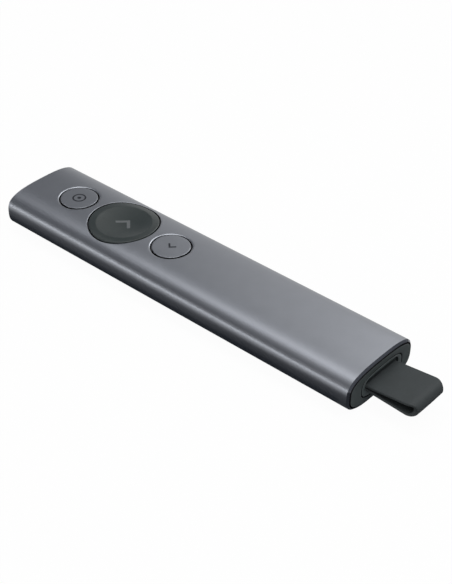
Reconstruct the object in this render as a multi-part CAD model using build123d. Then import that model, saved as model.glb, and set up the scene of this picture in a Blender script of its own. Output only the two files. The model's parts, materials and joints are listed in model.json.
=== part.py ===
from build123d import *
import math
import os

# Wireless presenter: a crowned aluminium sleeve with three keys, and a USB receiver stored in its rear end.
# Frame, in millimetres: origin at the middle of the underside, +Y to the pointing end, +Z up through the
# keys, +X to the right. The receiver pulls out along -Y.

# ---------------------------------------------------------------- driving sizes

# Outer form. The section is a crown and a keel that meet at the waist, over a flat sole. Each side of
# either is three tangent arcs.
body_length = 131.3
body_width = 28.1
body_thickness = 12.1
waist_height = 5.9
sole_width = 8.0
crown_radius = 66.9
shoulder_radius = 4.65
flank_radius = 150.0
bilge_radius = 5.18
keel_radius = 27.9

# Sleeve
sleeve_wall = 1.1
rim_depth = 0.95            # chamfer of the end rims, along Y
rim_inset = 1.0             # the same chamfer, into the wall
slide_gap = 0.1             # between the sleeve and what slides into it

# End plates
plate_recess = 0.1          # how far the plates lie inside the rims
plate_thickness = 1.5
spigot_length = 2.5
spigot_wall = 0.8

# Keys
next_key_place = 28.7       # along Y
key_pitch = 19.24           # from one key to the next
small_cap_radius = 5.8
small_cap_thickness = 1.5
next_cap_radius = 10.63
next_cap_thickness = 2.2
groove = 0.3                # open ring round each cap
hole_lip = 0.4              # chamfer round each key hole
cap_edge = 0.15             # chamfer round each cap
dish_radius = 8.4
dish_depth = 1.0
key_travel = 0.3
key_lip = 0.7               # how far a key reaches under the sleeve
key_lip_thickness = 0.7
key_lip_gap = 0.1
key_lip_margin = 3.0        # between the body's side and the widest lip
cap_fit = 0.05              # round each cap in its carrier
small_stem_side = 3.2       # square, so that the key can't turn
next_stem_radius = 2.0
guide_pin_radius = 0.8
guide_pin_side = 6.5        # from the middle of the next key to its two pins
stem_clearance = 0.15

# Chassis and key deck
chassis_wall = 0.6
deck_thickness = 0.7
deck_gap = 0.2              # under the lowest key when it is pressed
deck_margin = 3.0           # deck beyond the outer key holes

# Main board
board_standoff = 1.9        # bosses between the chassis floor and the board
board_thickness = 0.8
board_width = 21.0
board_corner = 1.0
board_end_gap = 0.4
boss_radius = 1.3
screw_radius = 0.6
screw_head_radius = 1.1
screw_head_height = 0.6
screw_length = 2.3          # below the top of the board
screw_clearance = 0.1       # in the board and the bay's lugs
screw_thread_gap = 0.02     # in the bosses
screw_side = 8.4            # board screws, from the middle line
screw_end = 3.4             # board screws, from the ends of the board

# Key switches
switch_side = 5.2
switch_height = 2.0
switch_floor = 0.4
plunger_radius = 1.1
plunger_proud = 0.8
plunger_gap = 0.05
dome_radius = 1.9
dome_crown_radius = 0.9
dome_rise = 0.5
dome_thickness = 0.1
dome_room = 0.1             # between the dome and the switch's walls

# Receiver
receiver_rise = 0.2         # its axis above the middle of the body's thickness
receiver_proud = 0.2        # face of the receiver outside the rims
flange_width = 17.5
flange_height = 7.7
flange_crown_radius = 33.9
flange_corner_radius = 3.25
flange_side_radius = 118.0
flange_gap = 0.14
flange_edge = 0.2           # chamfer round its face
receiver_width = 15.5
receiver_thickness = 6.3
receiver_corner = 1.6
receiver_body_length = 13.4
recess_width = 14.5
recess_height = 3.0
recess_corner = 1.2
recess_depth = 1.4
seat_gap = 0.05             # between the flange's shoulder and the bay

# Receiver plug, a type A plug
plug_width = 12.0
plug_height = 4.5
plug_length = 11.8
plug_wall = 0.3
plug_corner = 0.5
plug_window = 2.3
plug_window_side = 2.6      # windows, from the middle line
plug_window_place = 5.2     # windows, from the tip
tongue_inset = 0.4          # tongue inside the tip
tongue_thickness = 1.9
tongue_gap = 0.05
contact_width = 1.0
contact_length = 7.0
contact_thickness = 0.1
contact_inset = 1.0         # contacts, from the tongue's end
contact_places = (-3.5, -1.0, 1.0, 3.5)

# Pull tab, a strap folded into a loop
tab_width = 13.6
tab_thickness = 0.8
tab_reach = 15.5            # tip outside the rims
tab_nose_radius = 1.97
tab_root_height = 1.75      # both layers where they leave the receiver
tab_root_sink = 0.3         # middle of the root below the receiver's axis
tab_tip_corner = 2.4
tab_recess_gap = 0.1
tab_foot_depth = 0.8        # moulded foot in the recess

# Receiver bay, the tunnel behind the rear plate
bay_gap = 0.2               # round the receiver
bay_wall = 0.95
bay_back_wall = 1.1
bay_depth = 36.0            # from the rear rim to the back wall
lug_inset = 0.4             # lugs inside the bay's sides
lug_thickness = 1.1

# Charging port, a type C receptacle
port_width = 8.94
port_height = 3.26
port_length = 7.3
port_wall = 0.3
port_gap = 0.1
port_mouth = 0.8            # how far the mouth stands in the bay's back wall
port_tongue_width = 6.7
port_tongue_thickness = 0.7
port_tongue_length = 4.6
port_fit = 0.02

# Battery and its leads
battery_width = 14.4
battery_length = 16.0
battery_thickness = 4.1
battery_edge = 1.2
battery_wall_gap = 0.95     # beside the chassis wall
battery_gap = 1.0           # behind the charging port
terrace_width = 11.0
terrace_length = 2.0
terrace_height = 1.8
tape_thickness = 0.1
tape_margin = 1.5
foam_width = 9.0
foam_length = 11.0
foam_gap = 0.05
lead_radius = 0.35
lead_run = 1.8              # straight ends of the leads
lead_slope = 3.0            # sloping middle of the leads
lead_spread = 2.6           # between the leads at the battery
lead_pitch = 1.25           # between the leads at their plug
battery_plug_width = 4.2
battery_plug_length = 2.4
battery_plug_height = 1.5
battery_plug_gap = 0.4      # beside the back key's switch

# Vibration motor
motor_radius = 2.4
motor_length = 9.0
motor_side = 7.5            # middle of the motor, across
boot_wall = 0.3
boot_length = 7.0
boot_foot_width = 4.4
boot_fit = 0.02
shaft_radius = 0.4
shaft_gap = 0.03
shaft_seat = 2.0            # inside the can
shaft_end = 0.4             # beyond the weight
weight_radius = 2.1
weight_hub_radius = 0.9
weight_length = 3.2
weight_gap = 0.8            # between the can and the weight
weight_fit = 0.01
motor_contact_width = 0.8
motor_contact_thickness = 0.15
motor_contact_side = 1.0
motor_contact_foot = 0.8

# Small parts on the board
can_width = 10.0
can_length = 8.0
can_height = 1.4
can_wall = 0.15
antenna_width = 5.0
antenna_length = 2.0
antenna_height = 1.1
antenna_side = 4.4
led_width = 1.6
led_length = 0.8
led_height = 0.7
light_pipe_radius = 0.9
light_pipe_gap = 0.1
charger_offset = 4.0        # charger chip beyond the middle of the two front keys

# ---------------------------------------------------------------- the section's arcs

def tangent_quarter(flat, reach, rise, top_radius, corner_radius, side_radius):
    """A quarter outline from (reach, 0) up to (flat, rise), as three tangent arcs of one centre, radius,
    start angle and end angle each, from the side to the top."""
    top_centre = Vector(flat, rise - top_radius)
    side_centre = Vector(reach - side_radius, 0)
    top_reach, side_reach = top_radius - corner_radius, side_radius - corner_radius
    base = side_centre - top_centre
    along = (top_reach ** 2 - side_reach ** 2 + base.length ** 2) / (2 * base.length)
    off = math.sqrt(top_reach ** 2 - along ** 2)
    unit = base.normalized()
    corner_centre = top_centre + along * unit + off * Vector(unit.Y, -unit.X)
    from_side, from_top = corner_centre - side_centre, corner_centre - top_centre
    corner_start = math.atan2(from_side.Y, from_side.X)
    corner_end = math.atan2(from_top.Y, from_top.X)
    return [(side_centre, side_radius, 0, corner_start),
            (corner_centre, corner_radius, corner_start, corner_end),
            (top_centre, top_radius, corner_end, math.pi / 2)]


crown = tangent_quarter(0, body_width / 2, body_thickness - waist_height,
                        crown_radius, shoulder_radius, flank_radius)
keel = tangent_quarter(sole_width / 2, body_width / 2, waist_height,
                       keel_radius, bilge_radius, flank_radius)


def crown_height(x, inset):
    """Height above the sole of the crown set inwards by inset, x from the middle line."""
    for centre, radius, start, _ in reversed(crown):
        inset_radius = radius - inset
        if x <= centre.X + inset_radius * math.cos(start):
            return waist_height + centre.Y + math.sqrt(inset_radius ** 2 - (x - centre.X) ** 2)


# ---------------------------------------------------------------- places worked out from them

rear_rim = -body_length / 2
front_rim = body_length / 2
rear_plate = rear_rim + plate_recess
rear_plate_back = rear_plate + plate_thickness
front_plate = front_rim - plate_recess
front_plate_back = front_plate - plate_thickness
core_inset = sleeve_wall + slide_gap

key_places = {
    "back": next_key_place - key_pitch,
    "next": next_key_place,
    "pointer": next_key_place + key_pitch,
}
cap_radii = {"back": small_cap_radius, "next": next_cap_radius, "pointer": small_cap_radius}
cap_seats = {
    "back": body_thickness - small_cap_thickness,
    "next": body_thickness - next_cap_thickness,
    "pointer": body_thickness - small_cap_thickness,
}

receiver_height = body_thickness / 2 + receiver_rise
bay_inner_width = receiver_width + 2 * bay_gap
bay_inner_height = receiver_thickness + 2 * bay_gap
bay_outer_width = bay_inner_width + 2 * bay_wall
bay_outer_height = bay_inner_height + 2 * bay_wall
bay_back = rear_rim + bay_depth
bay_end = bay_back + bay_back_wall

chassis_start = rear_plate_back + spigot_length
chassis_end = front_plate_back - spigot_length
chassis_floor = receiver_height - bay_outer_height / 2
board_bottom = chassis_floor + board_standoff
board_top = board_bottom + board_thickness
board_start = bay_end + board_end_gap
board_end = chassis_end - board_end_gap
screw_tip = board_top - screw_length
boss_hole_bottom = screw_tip - screw_clearance
lip_radii = {name: radius + groove + key_lip for name, radius in cap_radii.items()}
lip_inset = sleeve_wall + key_lip_gap
lip_side = body_width / 2 - key_lip_margin
lip_bottoms = {
    name: crown_height(min(radius, lip_side), lip_inset) - key_lip_thickness
    for name, radius in lip_radii.items()
}
deck_top = min(lip_bottoms.values()) - key_travel - deck_gap
deck_height = deck_top - deck_thickness
deck_start = key_places["back"] - small_cap_radius - groove - deck_margin
deck_end = key_places["pointer"] + small_cap_radius + groove + deck_margin
dome_base = board_top + switch_floor
plunger_foot = dome_base + dome_rise + plunger_gap
stem_foot = board_top + switch_height + plunger_proud

receiver_face = rear_rim - receiver_proud
flange_back = rear_plate_back - seat_gap
receiver_end = receiver_face + receiver_body_length
plug_tip = receiver_end + plug_length
tongue_bottom = receiver_height - plug_height / 2 + plug_wall + tongue_gap
tongue_top = tongue_bottom + tongue_thickness
tongue_end = plug_tip - tongue_inset
recess_floor = receiver_face + recess_depth
tab_foot = recess_floor - tab_foot_depth
tab_nose = rear_rim - tab_reach + tab_nose_radius

port_start = bay_end - port_mouth
port_end = port_start + port_length
port_axis = board_top + port_height / 2
battery_side = -(body_width / 2 - core_inset - chassis_wall - battery_wall_gap - battery_width / 2)
battery_start = port_end + battery_gap
battery_end = battery_start + battery_length
battery_bottom = board_top + tape_thickness
battery_top = battery_bottom + battery_thickness
battery_middle = battery_start + battery_length / 2
terrace_end = battery_end + terrace_length
battery_plug_start = terrace_end + 2 * lead_run + lead_slope
battery_plug_side = -(switch_side / 2 + battery_plug_gap + battery_plug_width / 2)
motor_start = battery_start
motor_end = motor_start + motor_length
motor_axis = board_top + boot_wall + motor_radius
weight_start = motor_end + weight_gap
weight_end = weight_start + weight_length
light_axis = board_top + led_height / 2

lug_side = bay_outer_width / 2 - lug_inset - boss_radius
lug_top = board_top + lug_thickness
bay_screw_place = board_start + screw_end
board_screw_places = [(side * screw_side, board_end - screw_end) for side in (-1, 1)]
bay_screw_places = [(side * lug_side, bay_screw_place) for side in (-1, 1)]
screw_places = board_screw_places + bay_screw_places

# Chips, each with the place of its middle along Y, its side, and its width, length and height
can_place = (key_places["back"] + key_places["next"]) / 2
sensor_place = (key_places["next"] + key_places["pointer"]) / 2
chips = {
    "radio": (can_place, 0.0, 6.0, 5.0, 0.9),
    "motion_sensor": (sensor_place, -3.0, 3.0, 3.0, 0.9),
    "memory": (sensor_place, 3.4, 4.0, 3.0, 0.8),
    "charger": (sensor_place + charger_offset, 8.2, 2.6, 2.6, 0.8),
    "motor_driver": (can_place, 8.2, 2.2, 2.2, 0.7),
}


# ---------------------------------------------------------------- shared geometry

def mirrored_quarters(upper, lower, inset):
    """The arcs of a closed outline's four quarters, set inwards by inset, about the middle line."""
    edges = []
    for quarter, up in ((upper, 1), (lower, -1)):
        for centre, radius, start, end in quarter:
            for across in (1, -1):
                angles = (start, (start + end) / 2, end)
                edges.append(ThreePointArc(*[
                    (across * (centre.X + (radius - inset) * math.cos(angle)),
                     up * (centre.Y + (radius - inset) * math.sin(angle)))
                    for angle in angles
                ]))
    return edges


def body_face(inset):
    """The body's cross-section, set inwards by inset, upright on the XZ plane."""
    sole = Line((-sole_width / 2, inset - waist_height), (sole_width / 2, inset - waist_height))
    return upright(make_face(mirrored_quarters(crown, keel, inset) + [sole]), z=waist_height)


def flange_face(margin):
    """The soft-cornered oval of the receiver's flange, grown by a margin, about the receiver's axis."""
    quarter = tangent_quarter(0, flange_width / 2, flange_height / 2,
                              flange_crown_radius, flange_corner_radius, flange_side_radius)
    return upright(make_face(mirrored_quarters(quarter, quarter, -margin)), z=receiver_height)


def upright(sketch, x=0.0, z=0.0):
    """Stands a flat sketch up on the XZ plane, about the point x, z."""
    return Plane.XZ * (Pos(x, z) * sketch)


def prism(face, start, end):
    """Stretches an upright face along Y, from start to end."""
    return Pos(0, end, 0) * extrude(face, amount=end - start)


def core(inset, start=rear_rim, end=front_rim):
    """The body's form, set inwards by inset, between two places along Y."""
    return prism(body_face(inset), start, end)


def post(radius, bottom, top, x=0.0, y=0.0):
    """A round upright post between two heights."""
    return Pos(x, y, bottom) * Cylinder(radius, top - bottom, align=(Align.CENTER, Align.CENTER, Align.MIN))


def block(x_range, y_range, z_range):
    """A box between two places on each axis."""
    lows, highs = zip(x_range, y_range, z_range)
    sizes = [high - low for low, high in zip(lows, highs)]
    return Pos(*lows) * Box(*sizes, align=(Align.MIN, Align.MIN, Align.MIN))


def middle_block(width, length, height, x, y, z):
    """A box about x and y, standing on z."""
    return Pos(x, y, z) * Box(width, length, height, align=(Align.CENTER, Align.CENTER, Align.MIN))


def save(name, shape):
    export_step(shape, f"parts/{name}.step")


# ---------------------------------------------------------------- sleeve and end plates

def make_sleeve():
    shell = core(0)
    for end_face in (shell.faces().sort_by(Axis.Y)[0], shell.faces().sort_by(Axis.Y)[-1]):
        shell = chamfer(end_face.edges(), length=rim_inset, length2=rim_depth, reference=end_face)
    shell -= core(sleeve_wall)
    for name, place in key_places.items():
        radius = cap_radii[name] + groove
        shell -= post(radius, waist_height, body_thickness + 1, y=place)
        mouth = shell.edges().filter_by(lambda edge: is_on_mouth(edge @ 0.5, place, radius))
        shell = chamfer(mouth, length=hole_lip)
    return shell


def is_on_mouth(point, place, radius):
    """Whether a point lies on the upper rim of the key hole at this place."""
    on_wall = abs(math.hypot(point.X, point.Y - place) - radius) < groove / 10
    return on_wall and point.Z > crown_height(abs(point.X), sleeve_wall / 4)


def make_end_plate(front, back, spigot_end):
    """A plate inside the sleeve's end, with a spigot ring behind it."""
    plate_span = sorted((front, back))
    ring_span = sorted((back, spigot_end))
    ring = core(core_inset, *ring_span) - core(core_inset + spigot_wall, *ring_span)
    return core(core_inset, *plate_span) + ring


def make_rear_cap():
    cap = make_end_plate(rear_plate, rear_plate_back, chassis_start)
    bay_side = bay_outer_width / 2 + slide_gap
    bay_room = block((-bay_side, bay_side), (rear_plate_back, chassis_start), (0, body_thickness))
    return cap - prism(flange_face(flange_gap), rear_plate, rear_plate_back) - bay_room


def make_front_cap():
    cap = make_end_plate(front_plate, front_plate_back, chassis_end)
    hole = upright(Circle(light_pipe_radius + light_pipe_gap), z=light_axis)
    return cap - prism(hole, front_plate_back, front_plate)


# ---------------------------------------------------------------- keys

def make_key_cap(name):
    """The visible cap: a disc cut from the body's own crown, flush with the sleeve."""
    radius, place, seat = cap_radii[name], key_places[name], cap_seats[name]
    cap = core(0, place - radius, place + radius) & post(radius, seat, body_thickness + 1, y=place)
    return chamfer(cap.edges().sort_by(Axis.Z)[-1], length=cap_edge)


def dish_tool(place):
    """The space over the thumb dish: a paraboloid that follows the crown, so that it cuts a round dish."""
    reach = dish_radius + groove
    steps = 16
    rows = []
    for row in range(steps + 1):
        y = reach * (2 * row / steps - 1)
        line = []
        for column in range(steps + 1):
            x = reach * (2 * column / steps - 1)
            sink = dish_depth * (1 - (x * x + y * y) / dish_radius ** 2)
            line.append(Vector(x, place + y, crown_height(abs(x), 0) - sink))
        rows.append(line)
    floor = Face.make_surface_from_array_of_points(rows, tol=0.002)
    return extrude(floor, amount=body_thickness, dir=(0, 0, 1))


def make_next_cap():
    return make_key_cap("next") - dish_tool(key_places["next"])


def small_stem(place, margin, bottom, top):
    side = small_stem_side + 2 * margin
    return middle_block(side, side, top - bottom, 0, place, bottom)


def key_stems(name, margin, bottom, top):
    """What reaches through the key deck, grown by a margin."""
    place = key_places[name]
    if name != "next":
        return small_stem(place, margin, bottom, top)
    stems = post(next_stem_radius + margin, bottom, top, y=place)
    for side in (-1, 1):
        pin_bottom = max(bottom, deck_height)
        stems += post(guide_pin_radius + margin, pin_bottom, top, x=side * guide_pin_side, y=place)
    return stems


def make_key_carrier(name):
    """The moulding under a cap: a lip that the sleeve holds down, and a stem down to the switch."""
    radius, place, seat = cap_radii[name], key_places[name], cap_seats[name]
    lip_radius, lip_bottom = lip_radii[name], lip_bottoms[name]
    lip_ends = (place - lip_radius, place + lip_radius)
    lip = post(lip_radius, lip_bottom, body_thickness, y=place) & core(lip_inset, *lip_ends)
    lip &= block((-lip_side, lip_side), lip_ends, (lip_bottom, body_thickness))
    lip -= post(radius + cap_fit, seat, body_thickness, y=place)
    return lip + key_stems(name, 0, stem_foot, lip_bottom)


# ---------------------------------------------------------------- switches

def make_switch(place):
    housing = middle_block(switch_side, switch_side, switch_height, 0, place, board_top)
    room = post(dome_radius + dome_room, dome_base, plunger_foot + dome_room, y=place)
    bore = post(plunger_radius + plunger_gap, dome_base, board_top + switch_height, y=place)
    return housing - room - bore


def make_plunger(place):
    return post(plunger_radius, plunger_foot, stem_foot, y=place)


def make_dome(place):
    """A snap dome: a thin conical skirt under a flat crown."""
    outer = Cone(dome_radius, dome_crown_radius, dome_rise, align=(Align.CENTER, Align.CENTER, Align.MIN))
    inner = Cone(dome_radius - dome_thickness, dome_crown_radius - dome_thickness, dome_rise - dome_thickness,
                 align=(Align.CENTER, Align.CENTER, Align.MIN))
    return Pos(0, place, dome_base) * (outer - inner)


# ---------------------------------------------------------------- chassis, deck and board

def make_chassis():
    """A trough that follows the keel, with bosses for the board and the bay."""
    outer = core(core_inset, chassis_start, chassis_end)
    reach = body_width / 2
    below_deck = block((-reach, reach), (chassis_start, chassis_end), (0, deck_height))
    room = core(core_inset + chassis_wall, chassis_start, chassis_end)
    room &= block((-reach, reach), (chassis_start, chassis_end), (chassis_floor, body_thickness))
    trough = (outer - room) & below_deck
    for place in screw_places:
        trough += post(boss_radius, chassis_floor, board_bottom, *place) & outer
        trough -= post(screw_radius + screw_thread_gap, boss_hole_bottom, board_bottom, *place)
    return trough


def make_key_deck():
    """The plate over the board that guides the key stems; it sits on the chassis walls."""
    reach = body_width / 2
    deck = core(core_inset, deck_start, deck_end)
    deck &= block((-reach, reach), (deck_start, deck_end), (deck_height, deck_top))
    for name in key_places:
        deck -= key_stems(name, stem_clearance, deck_height, deck_top)
    return deck


def make_main_board():
    length = board_end - board_start
    outline = RectangleRounded(board_width, length, board_corner)
    board = Pos(0, board_start + length / 2, board_bottom) * extrude(outline, amount=board_thickness)
    for place in screw_places:
        board -= post(screw_radius + screw_clearance, board_bottom, board_top, *place)
    return board


def make_screws(places, seat):
    screws = []
    for place in places:
        head = post(screw_head_radius, seat, seat + screw_head_height, *place)
        screws.append(head + post(screw_radius, screw_tip, seat, *place))
    return Compound(children=screws)


# ---------------------------------------------------------------- receiver bay and charging port

def make_receiver_bay():
    outer = RectangleRounded(bay_outer_width, bay_outer_height, receiver_corner + bay_gap + bay_wall)
    inner = RectangleRounded(bay_inner_width, bay_inner_height, receiver_corner + bay_gap)
    bay = prism(upright(outer, z=receiver_height), rear_plate_back, bay_end)
    bay -= prism(upright(inner, z=receiver_height), rear_plate_back, bay_back)
    bay -= prism(port_outline(port_gap), bay_back, bay_end)
    for x, y in bay_screw_places:
        bay += block((x - boss_radius, x + boss_radius), (bay_back, y + boss_radius), (board_top, lug_top))
        bay -= post(screw_radius + screw_clearance, board_top, lug_top, x, y)
    return bay


def port_outline(margin):
    """The charging port's rounded section, grown by a margin."""
    height = port_height + 2 * margin
    flat_length = port_width - port_height
    return upright(SlotCenterToCenter(flat_length, height), z=port_axis)


def make_port_shell():
    outer, inner = port_outline(0), port_outline(-port_wall)
    return prism(outer, port_start, port_end) - prism(inner, port_start, port_end)


def make_port_tongue():
    base_start = port_end - (port_length - port_tongue_length - port_mouth)
    base = prism(port_outline(-port_wall - port_fit), base_start, port_end)
    half_width, half_height = port_tongue_width / 2, port_tongue_thickness / 2
    tongue = block((-half_width, half_width), (base_start - port_tongue_length, base_start),
                   (port_axis - half_height, port_axis + half_height))
    return base + tongue


# ---------------------------------------------------------------- receiver

def make_receiver_body():
    flange = prism(flange_face(0), receiver_face, flange_back)
    flange = chamfer(flange.faces().sort_by(Axis.Y)[0].edges(), length=flange_edge)
    body = upright(RectangleRounded(receiver_width, receiver_thickness, receiver_corner), z=receiver_height)
    recess = upright(RectangleRounded(recess_width, recess_height, recess_corner), z=receiver_height)
    return flange + prism(body, flange_back, receiver_end) - prism(recess, receiver_face, recess_floor)


def make_plug_shell():
    outer = RectangleRounded(plug_width, plug_height, plug_corner)
    inner = RectangleRounded(plug_width - 2 * plug_wall, plug_height - 2 * plug_wall, plug_corner - plug_wall)
    shell = prism(upright(outer, z=receiver_height), receiver_end, plug_tip)
    shell -= prism(upright(inner, z=receiver_height), receiver_end, plug_tip)
    for side in (-1, 1):
        shell -= middle_block(plug_window, plug_window, plug_height, side * plug_window_side,
                              plug_tip - plug_window_place, receiver_height - plug_height / 2)
    return shell


def make_plug_tongue():
    half_width = plug_width / 2 - plug_wall - tongue_gap
    return block((-half_width, half_width), (receiver_end, tongue_end), (tongue_bottom, tongue_top))


def make_plug_contacts():
    end = tongue_end - contact_inset
    strips = [block((x - contact_width / 2, x + contact_width / 2), (end - contact_length, end),
                    (tongue_top, tongue_top + contact_thickness)) for x in contact_places]
    return Compound(children=strips)


def loop_profile(nose_radius, root_top, root_bottom, root_place):
    """A teardrop in the YZ plane: a round nose, with straight flanks back to the root."""
    root_middle = receiver_height - tab_root_sink
    nose = Vector(tab_nose, receiver_height)
    flanks = []
    for height, sign in ((root_top, 1), (root_bottom, -1)):
        root = Vector(root_place, root_middle + height)
        reach = root - nose
        turn = math.atan2(reach.Y, reach.X) + sign * math.acos(nose_radius / reach.length)
        flanks.append((root, nose + nose_radius * Vector(math.cos(turn), math.sin(turn))))
    (top_root, top_touch), (bottom_root, bottom_touch) = flanks
    tip = nose - Vector(nose_radius, 0)
    edges = [Line(top_root, top_touch), ThreePointArc(top_touch, tip, bottom_touch),
             Line(bottom_touch, bottom_root), Line(bottom_root, top_root)]
    return make_face(edges)


def make_receiver_tab():
    """The strap's two layers leave a moulded foot in the recess and meet in a round nose."""
    half_root = tab_root_height / 2
    outer = loop_profile(tab_nose_radius, half_root, -half_root, tab_foot)
    hollow_root = half_root - tab_thickness
    hollow = loop_profile(tab_nose_radius - tab_thickness, hollow_root, -hollow_root, tab_foot)
    loop = extrude(Plane.YZ * (outer - hollow), amount=tab_width / 2, both=True)
    loop &= plan_outline()
    foot_outline = RectangleRounded(recess_width - 2 * tab_recess_gap, recess_height - 2 * tab_recess_gap,
                                    recess_corner - tab_recess_gap)
    return loop + prism(upright(foot_outline, z=receiver_height), tab_foot, recess_floor)


def plan_outline():
    """The tab from above: straight sides and rounded corners at the fold."""
    tip = rear_rim - tab_reach
    length = recess_floor - tip
    outline = Pos(0, tip + length / 2) * Rectangle(tab_width, length)
    outline = fillet(outline.vertices().sort_by(Axis.Y)[:2], radius=tab_tip_corner)
    return extrude(outline, amount=body_thickness)


# ---------------------------------------------------------------- battery

def make_battery():
    half_width = battery_width / 2
    cell = block((battery_side - half_width, battery_side + half_width), (battery_start, battery_end),
                 (battery_bottom, battery_top))
    cell = fillet(cell.edges().filter_by(Axis.Y), radius=battery_edge)
    terrace = middle_block(terrace_width, terrace_length, terrace_height, battery_side,
                           battery_end + terrace_length / 2, battery_bottom)
    return cell + terrace


def make_battery_tape():
    return middle_block(battery_width - 2 * tape_margin, battery_length - 2 * tape_margin, tape_thickness,
                        battery_side, battery_middle, board_top)


def make_battery_foam():
    pad = middle_block(foam_width, foam_length, body_thickness, battery_side, battery_middle, battery_top)
    return pad & core(sleeve_wall + foam_gap, battery_start, battery_end)


def make_battery_lead(side):
    """A lead from the battery's terrace to its plug: two level ends and a sloping middle."""
    start = Vector(battery_side + side * lead_spread / 2, terrace_end, battery_bottom + terrace_height / 2)
    finish = Vector(battery_plug_side + side * lead_pitch / 2, battery_plug_start,
                    board_top + battery_plug_height / 2)
    level = Vector(0, lead_run, 0)
    points = [start, start + level, finish - level, finish]
    turn = math.radians((points[2] - points[1]).get_angle(level))
    radius = 0.45 * lead_run / math.tan(turn / 2)
    path = FilletPolyline(*points, radius=radius)
    print(f"battery lead: arc radius {radius:.2f}, length {path.length:.2f}")
    return sweep(Plane(start, z_dir=(0, 1, 0)) * Circle(lead_radius), path=path)


def make_battery_plug():
    return middle_block(battery_plug_width, battery_plug_length, battery_plug_height, battery_plug_side,
                        battery_plug_start + battery_plug_length / 2, board_top)


# ---------------------------------------------------------------- vibration motor

def make_motor_can():
    can = prism(upright(Circle(motor_radius), x=motor_side, z=motor_axis), motor_start, motor_end)
    bore = upright(Circle(shaft_radius + shaft_gap), x=motor_side, z=motor_axis)
    return can - prism(bore, motor_end - shaft_seat, motor_end)


def make_motor_boot():
    middle = motor_start + motor_length / 2
    ends = (middle - boot_length / 2, middle + boot_length / 2)
    sleeve = prism(upright(Circle(motor_radius + boot_wall), x=motor_side, z=motor_axis), *ends)
    half_foot = boot_foot_width / 2
    foot = block((motor_side - half_foot, motor_side + half_foot), ends, (board_top, motor_axis))
    bore = upright(Circle(motor_radius + boot_fit), x=motor_side, z=motor_axis)
    return sleeve + foot - prism(bore, *ends)


def make_motor_contacts():
    strips = []
    for side in (-1, 1):
        x = motor_side + side * motor_contact_side
        across = (x - motor_contact_width / 2, x + motor_contact_width / 2)
        upright_strip = block(across, (motor_start - motor_contact_thickness, motor_start),
                              (board_top, motor_axis))
        foot = block(across, (motor_start - motor_contact_foot, motor_start),
                     (board_top, board_top + motor_contact_thickness))
        strips.append(upright_strip + foot)
    return Compound(children=strips)


def make_motor_shaft():
    shaft = upright(Circle(shaft_radius), x=motor_side, z=motor_axis)
    return prism(shaft, motor_end - shaft_seat, weight_end + shaft_end)


def make_motor_weight():
    """A half disc that hangs below the shaft, on a hub."""
    upper_half = Pos(0, weight_radius / 2) * Rectangle(2 * weight_radius, weight_radius)
    half_disc = Circle(weight_radius) - upper_half
    outline = half_disc + Circle(weight_hub_radius) - Circle(shaft_radius + weight_fit)
    return prism(upright(outline, x=motor_side, z=motor_axis), weight_start, weight_end)


# ---------------------------------------------------------------- small parts on the board

def make_shield_can():
    lid = middle_block(can_width, can_length, can_height, 0, can_place, board_top)
    return lid - middle_block(can_width - 2 * can_wall, can_length - 2 * can_wall, can_height - can_wall,
                              0, can_place, board_top)


def make_board_chips():
    bodies = [middle_block(width, length, height, side, place, board_top)
              for place, side, width, length, height in chips.values()]
    return Compound(children=bodies)


def make_antenna():
    return middle_block(antenna_width, antenna_length, antenna_height, antenna_side,
                        board_end - antenna_length / 2, board_top)


def make_status_led():
    return middle_block(led_width, led_length, led_height, 0, board_end - led_length / 2, board_top)


def make_light_pipe():
    pipe = upright(Circle(light_pipe_radius), z=light_axis)
    return prism(pipe, board_end + light_pipe_gap, front_plate)


# ---------------------------------------------------------------- all the nodes

os.makedirs("parts", exist_ok=True)

save("sleeve", make_sleeve())
save("rear_cap", make_rear_cap())
save("front_cap", make_front_cap())
save("status_light_pipe", make_light_pipe())
save("chassis", make_chassis())
save("key_deck", make_key_deck())
save("main_board", make_main_board())
save("board_screws", make_screws(board_screw_places, board_top))

for key in ("pointer", "back"):
    save(f"{key}_cap", make_key_cap(key))
save("next_cap", make_next_cap())
for key, key_place in key_places.items():
    save(f"{key}_key", make_key_carrier(key))
    save(f"{key}_switch", make_switch(key_place))
    save(f"{key}_plunger", make_plunger(key_place))
    save(f"{key}_dome", make_dome(key_place))

save("receiver_bay", make_receiver_bay())
save("bay_screws", make_screws(bay_screw_places, lug_top))
save("usb_port_shell", make_port_shell())
save("usb_port_tongue", make_port_tongue())

save("receiver_body", make_receiver_body())
save("receiver_plug_shell", make_plug_shell())
save("receiver_tongue", make_plug_tongue())
save("receiver_contacts", make_plug_contacts())
save("receiver_tab", make_receiver_tab())

save("battery", make_battery())
save("battery_tape", make_battery_tape())
save("battery_foam", make_battery_foam())
save("battery_plug", make_battery_plug())
save("battery_lead_positive", make_battery_lead(1))
save("battery_lead_negative", make_battery_lead(-1))

save("motor_can", make_motor_can())
save("motor_boot", make_motor_boot())
save("motor_contacts", make_motor_contacts())
save("motor_shaft", make_motor_shaft())
save("motor_weight", make_motor_weight())

save("shield_can", make_shield_can())
save("board_chips", make_board_chips())
save("antenna", make_antenna())
save("status_led", make_status_led())
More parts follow.
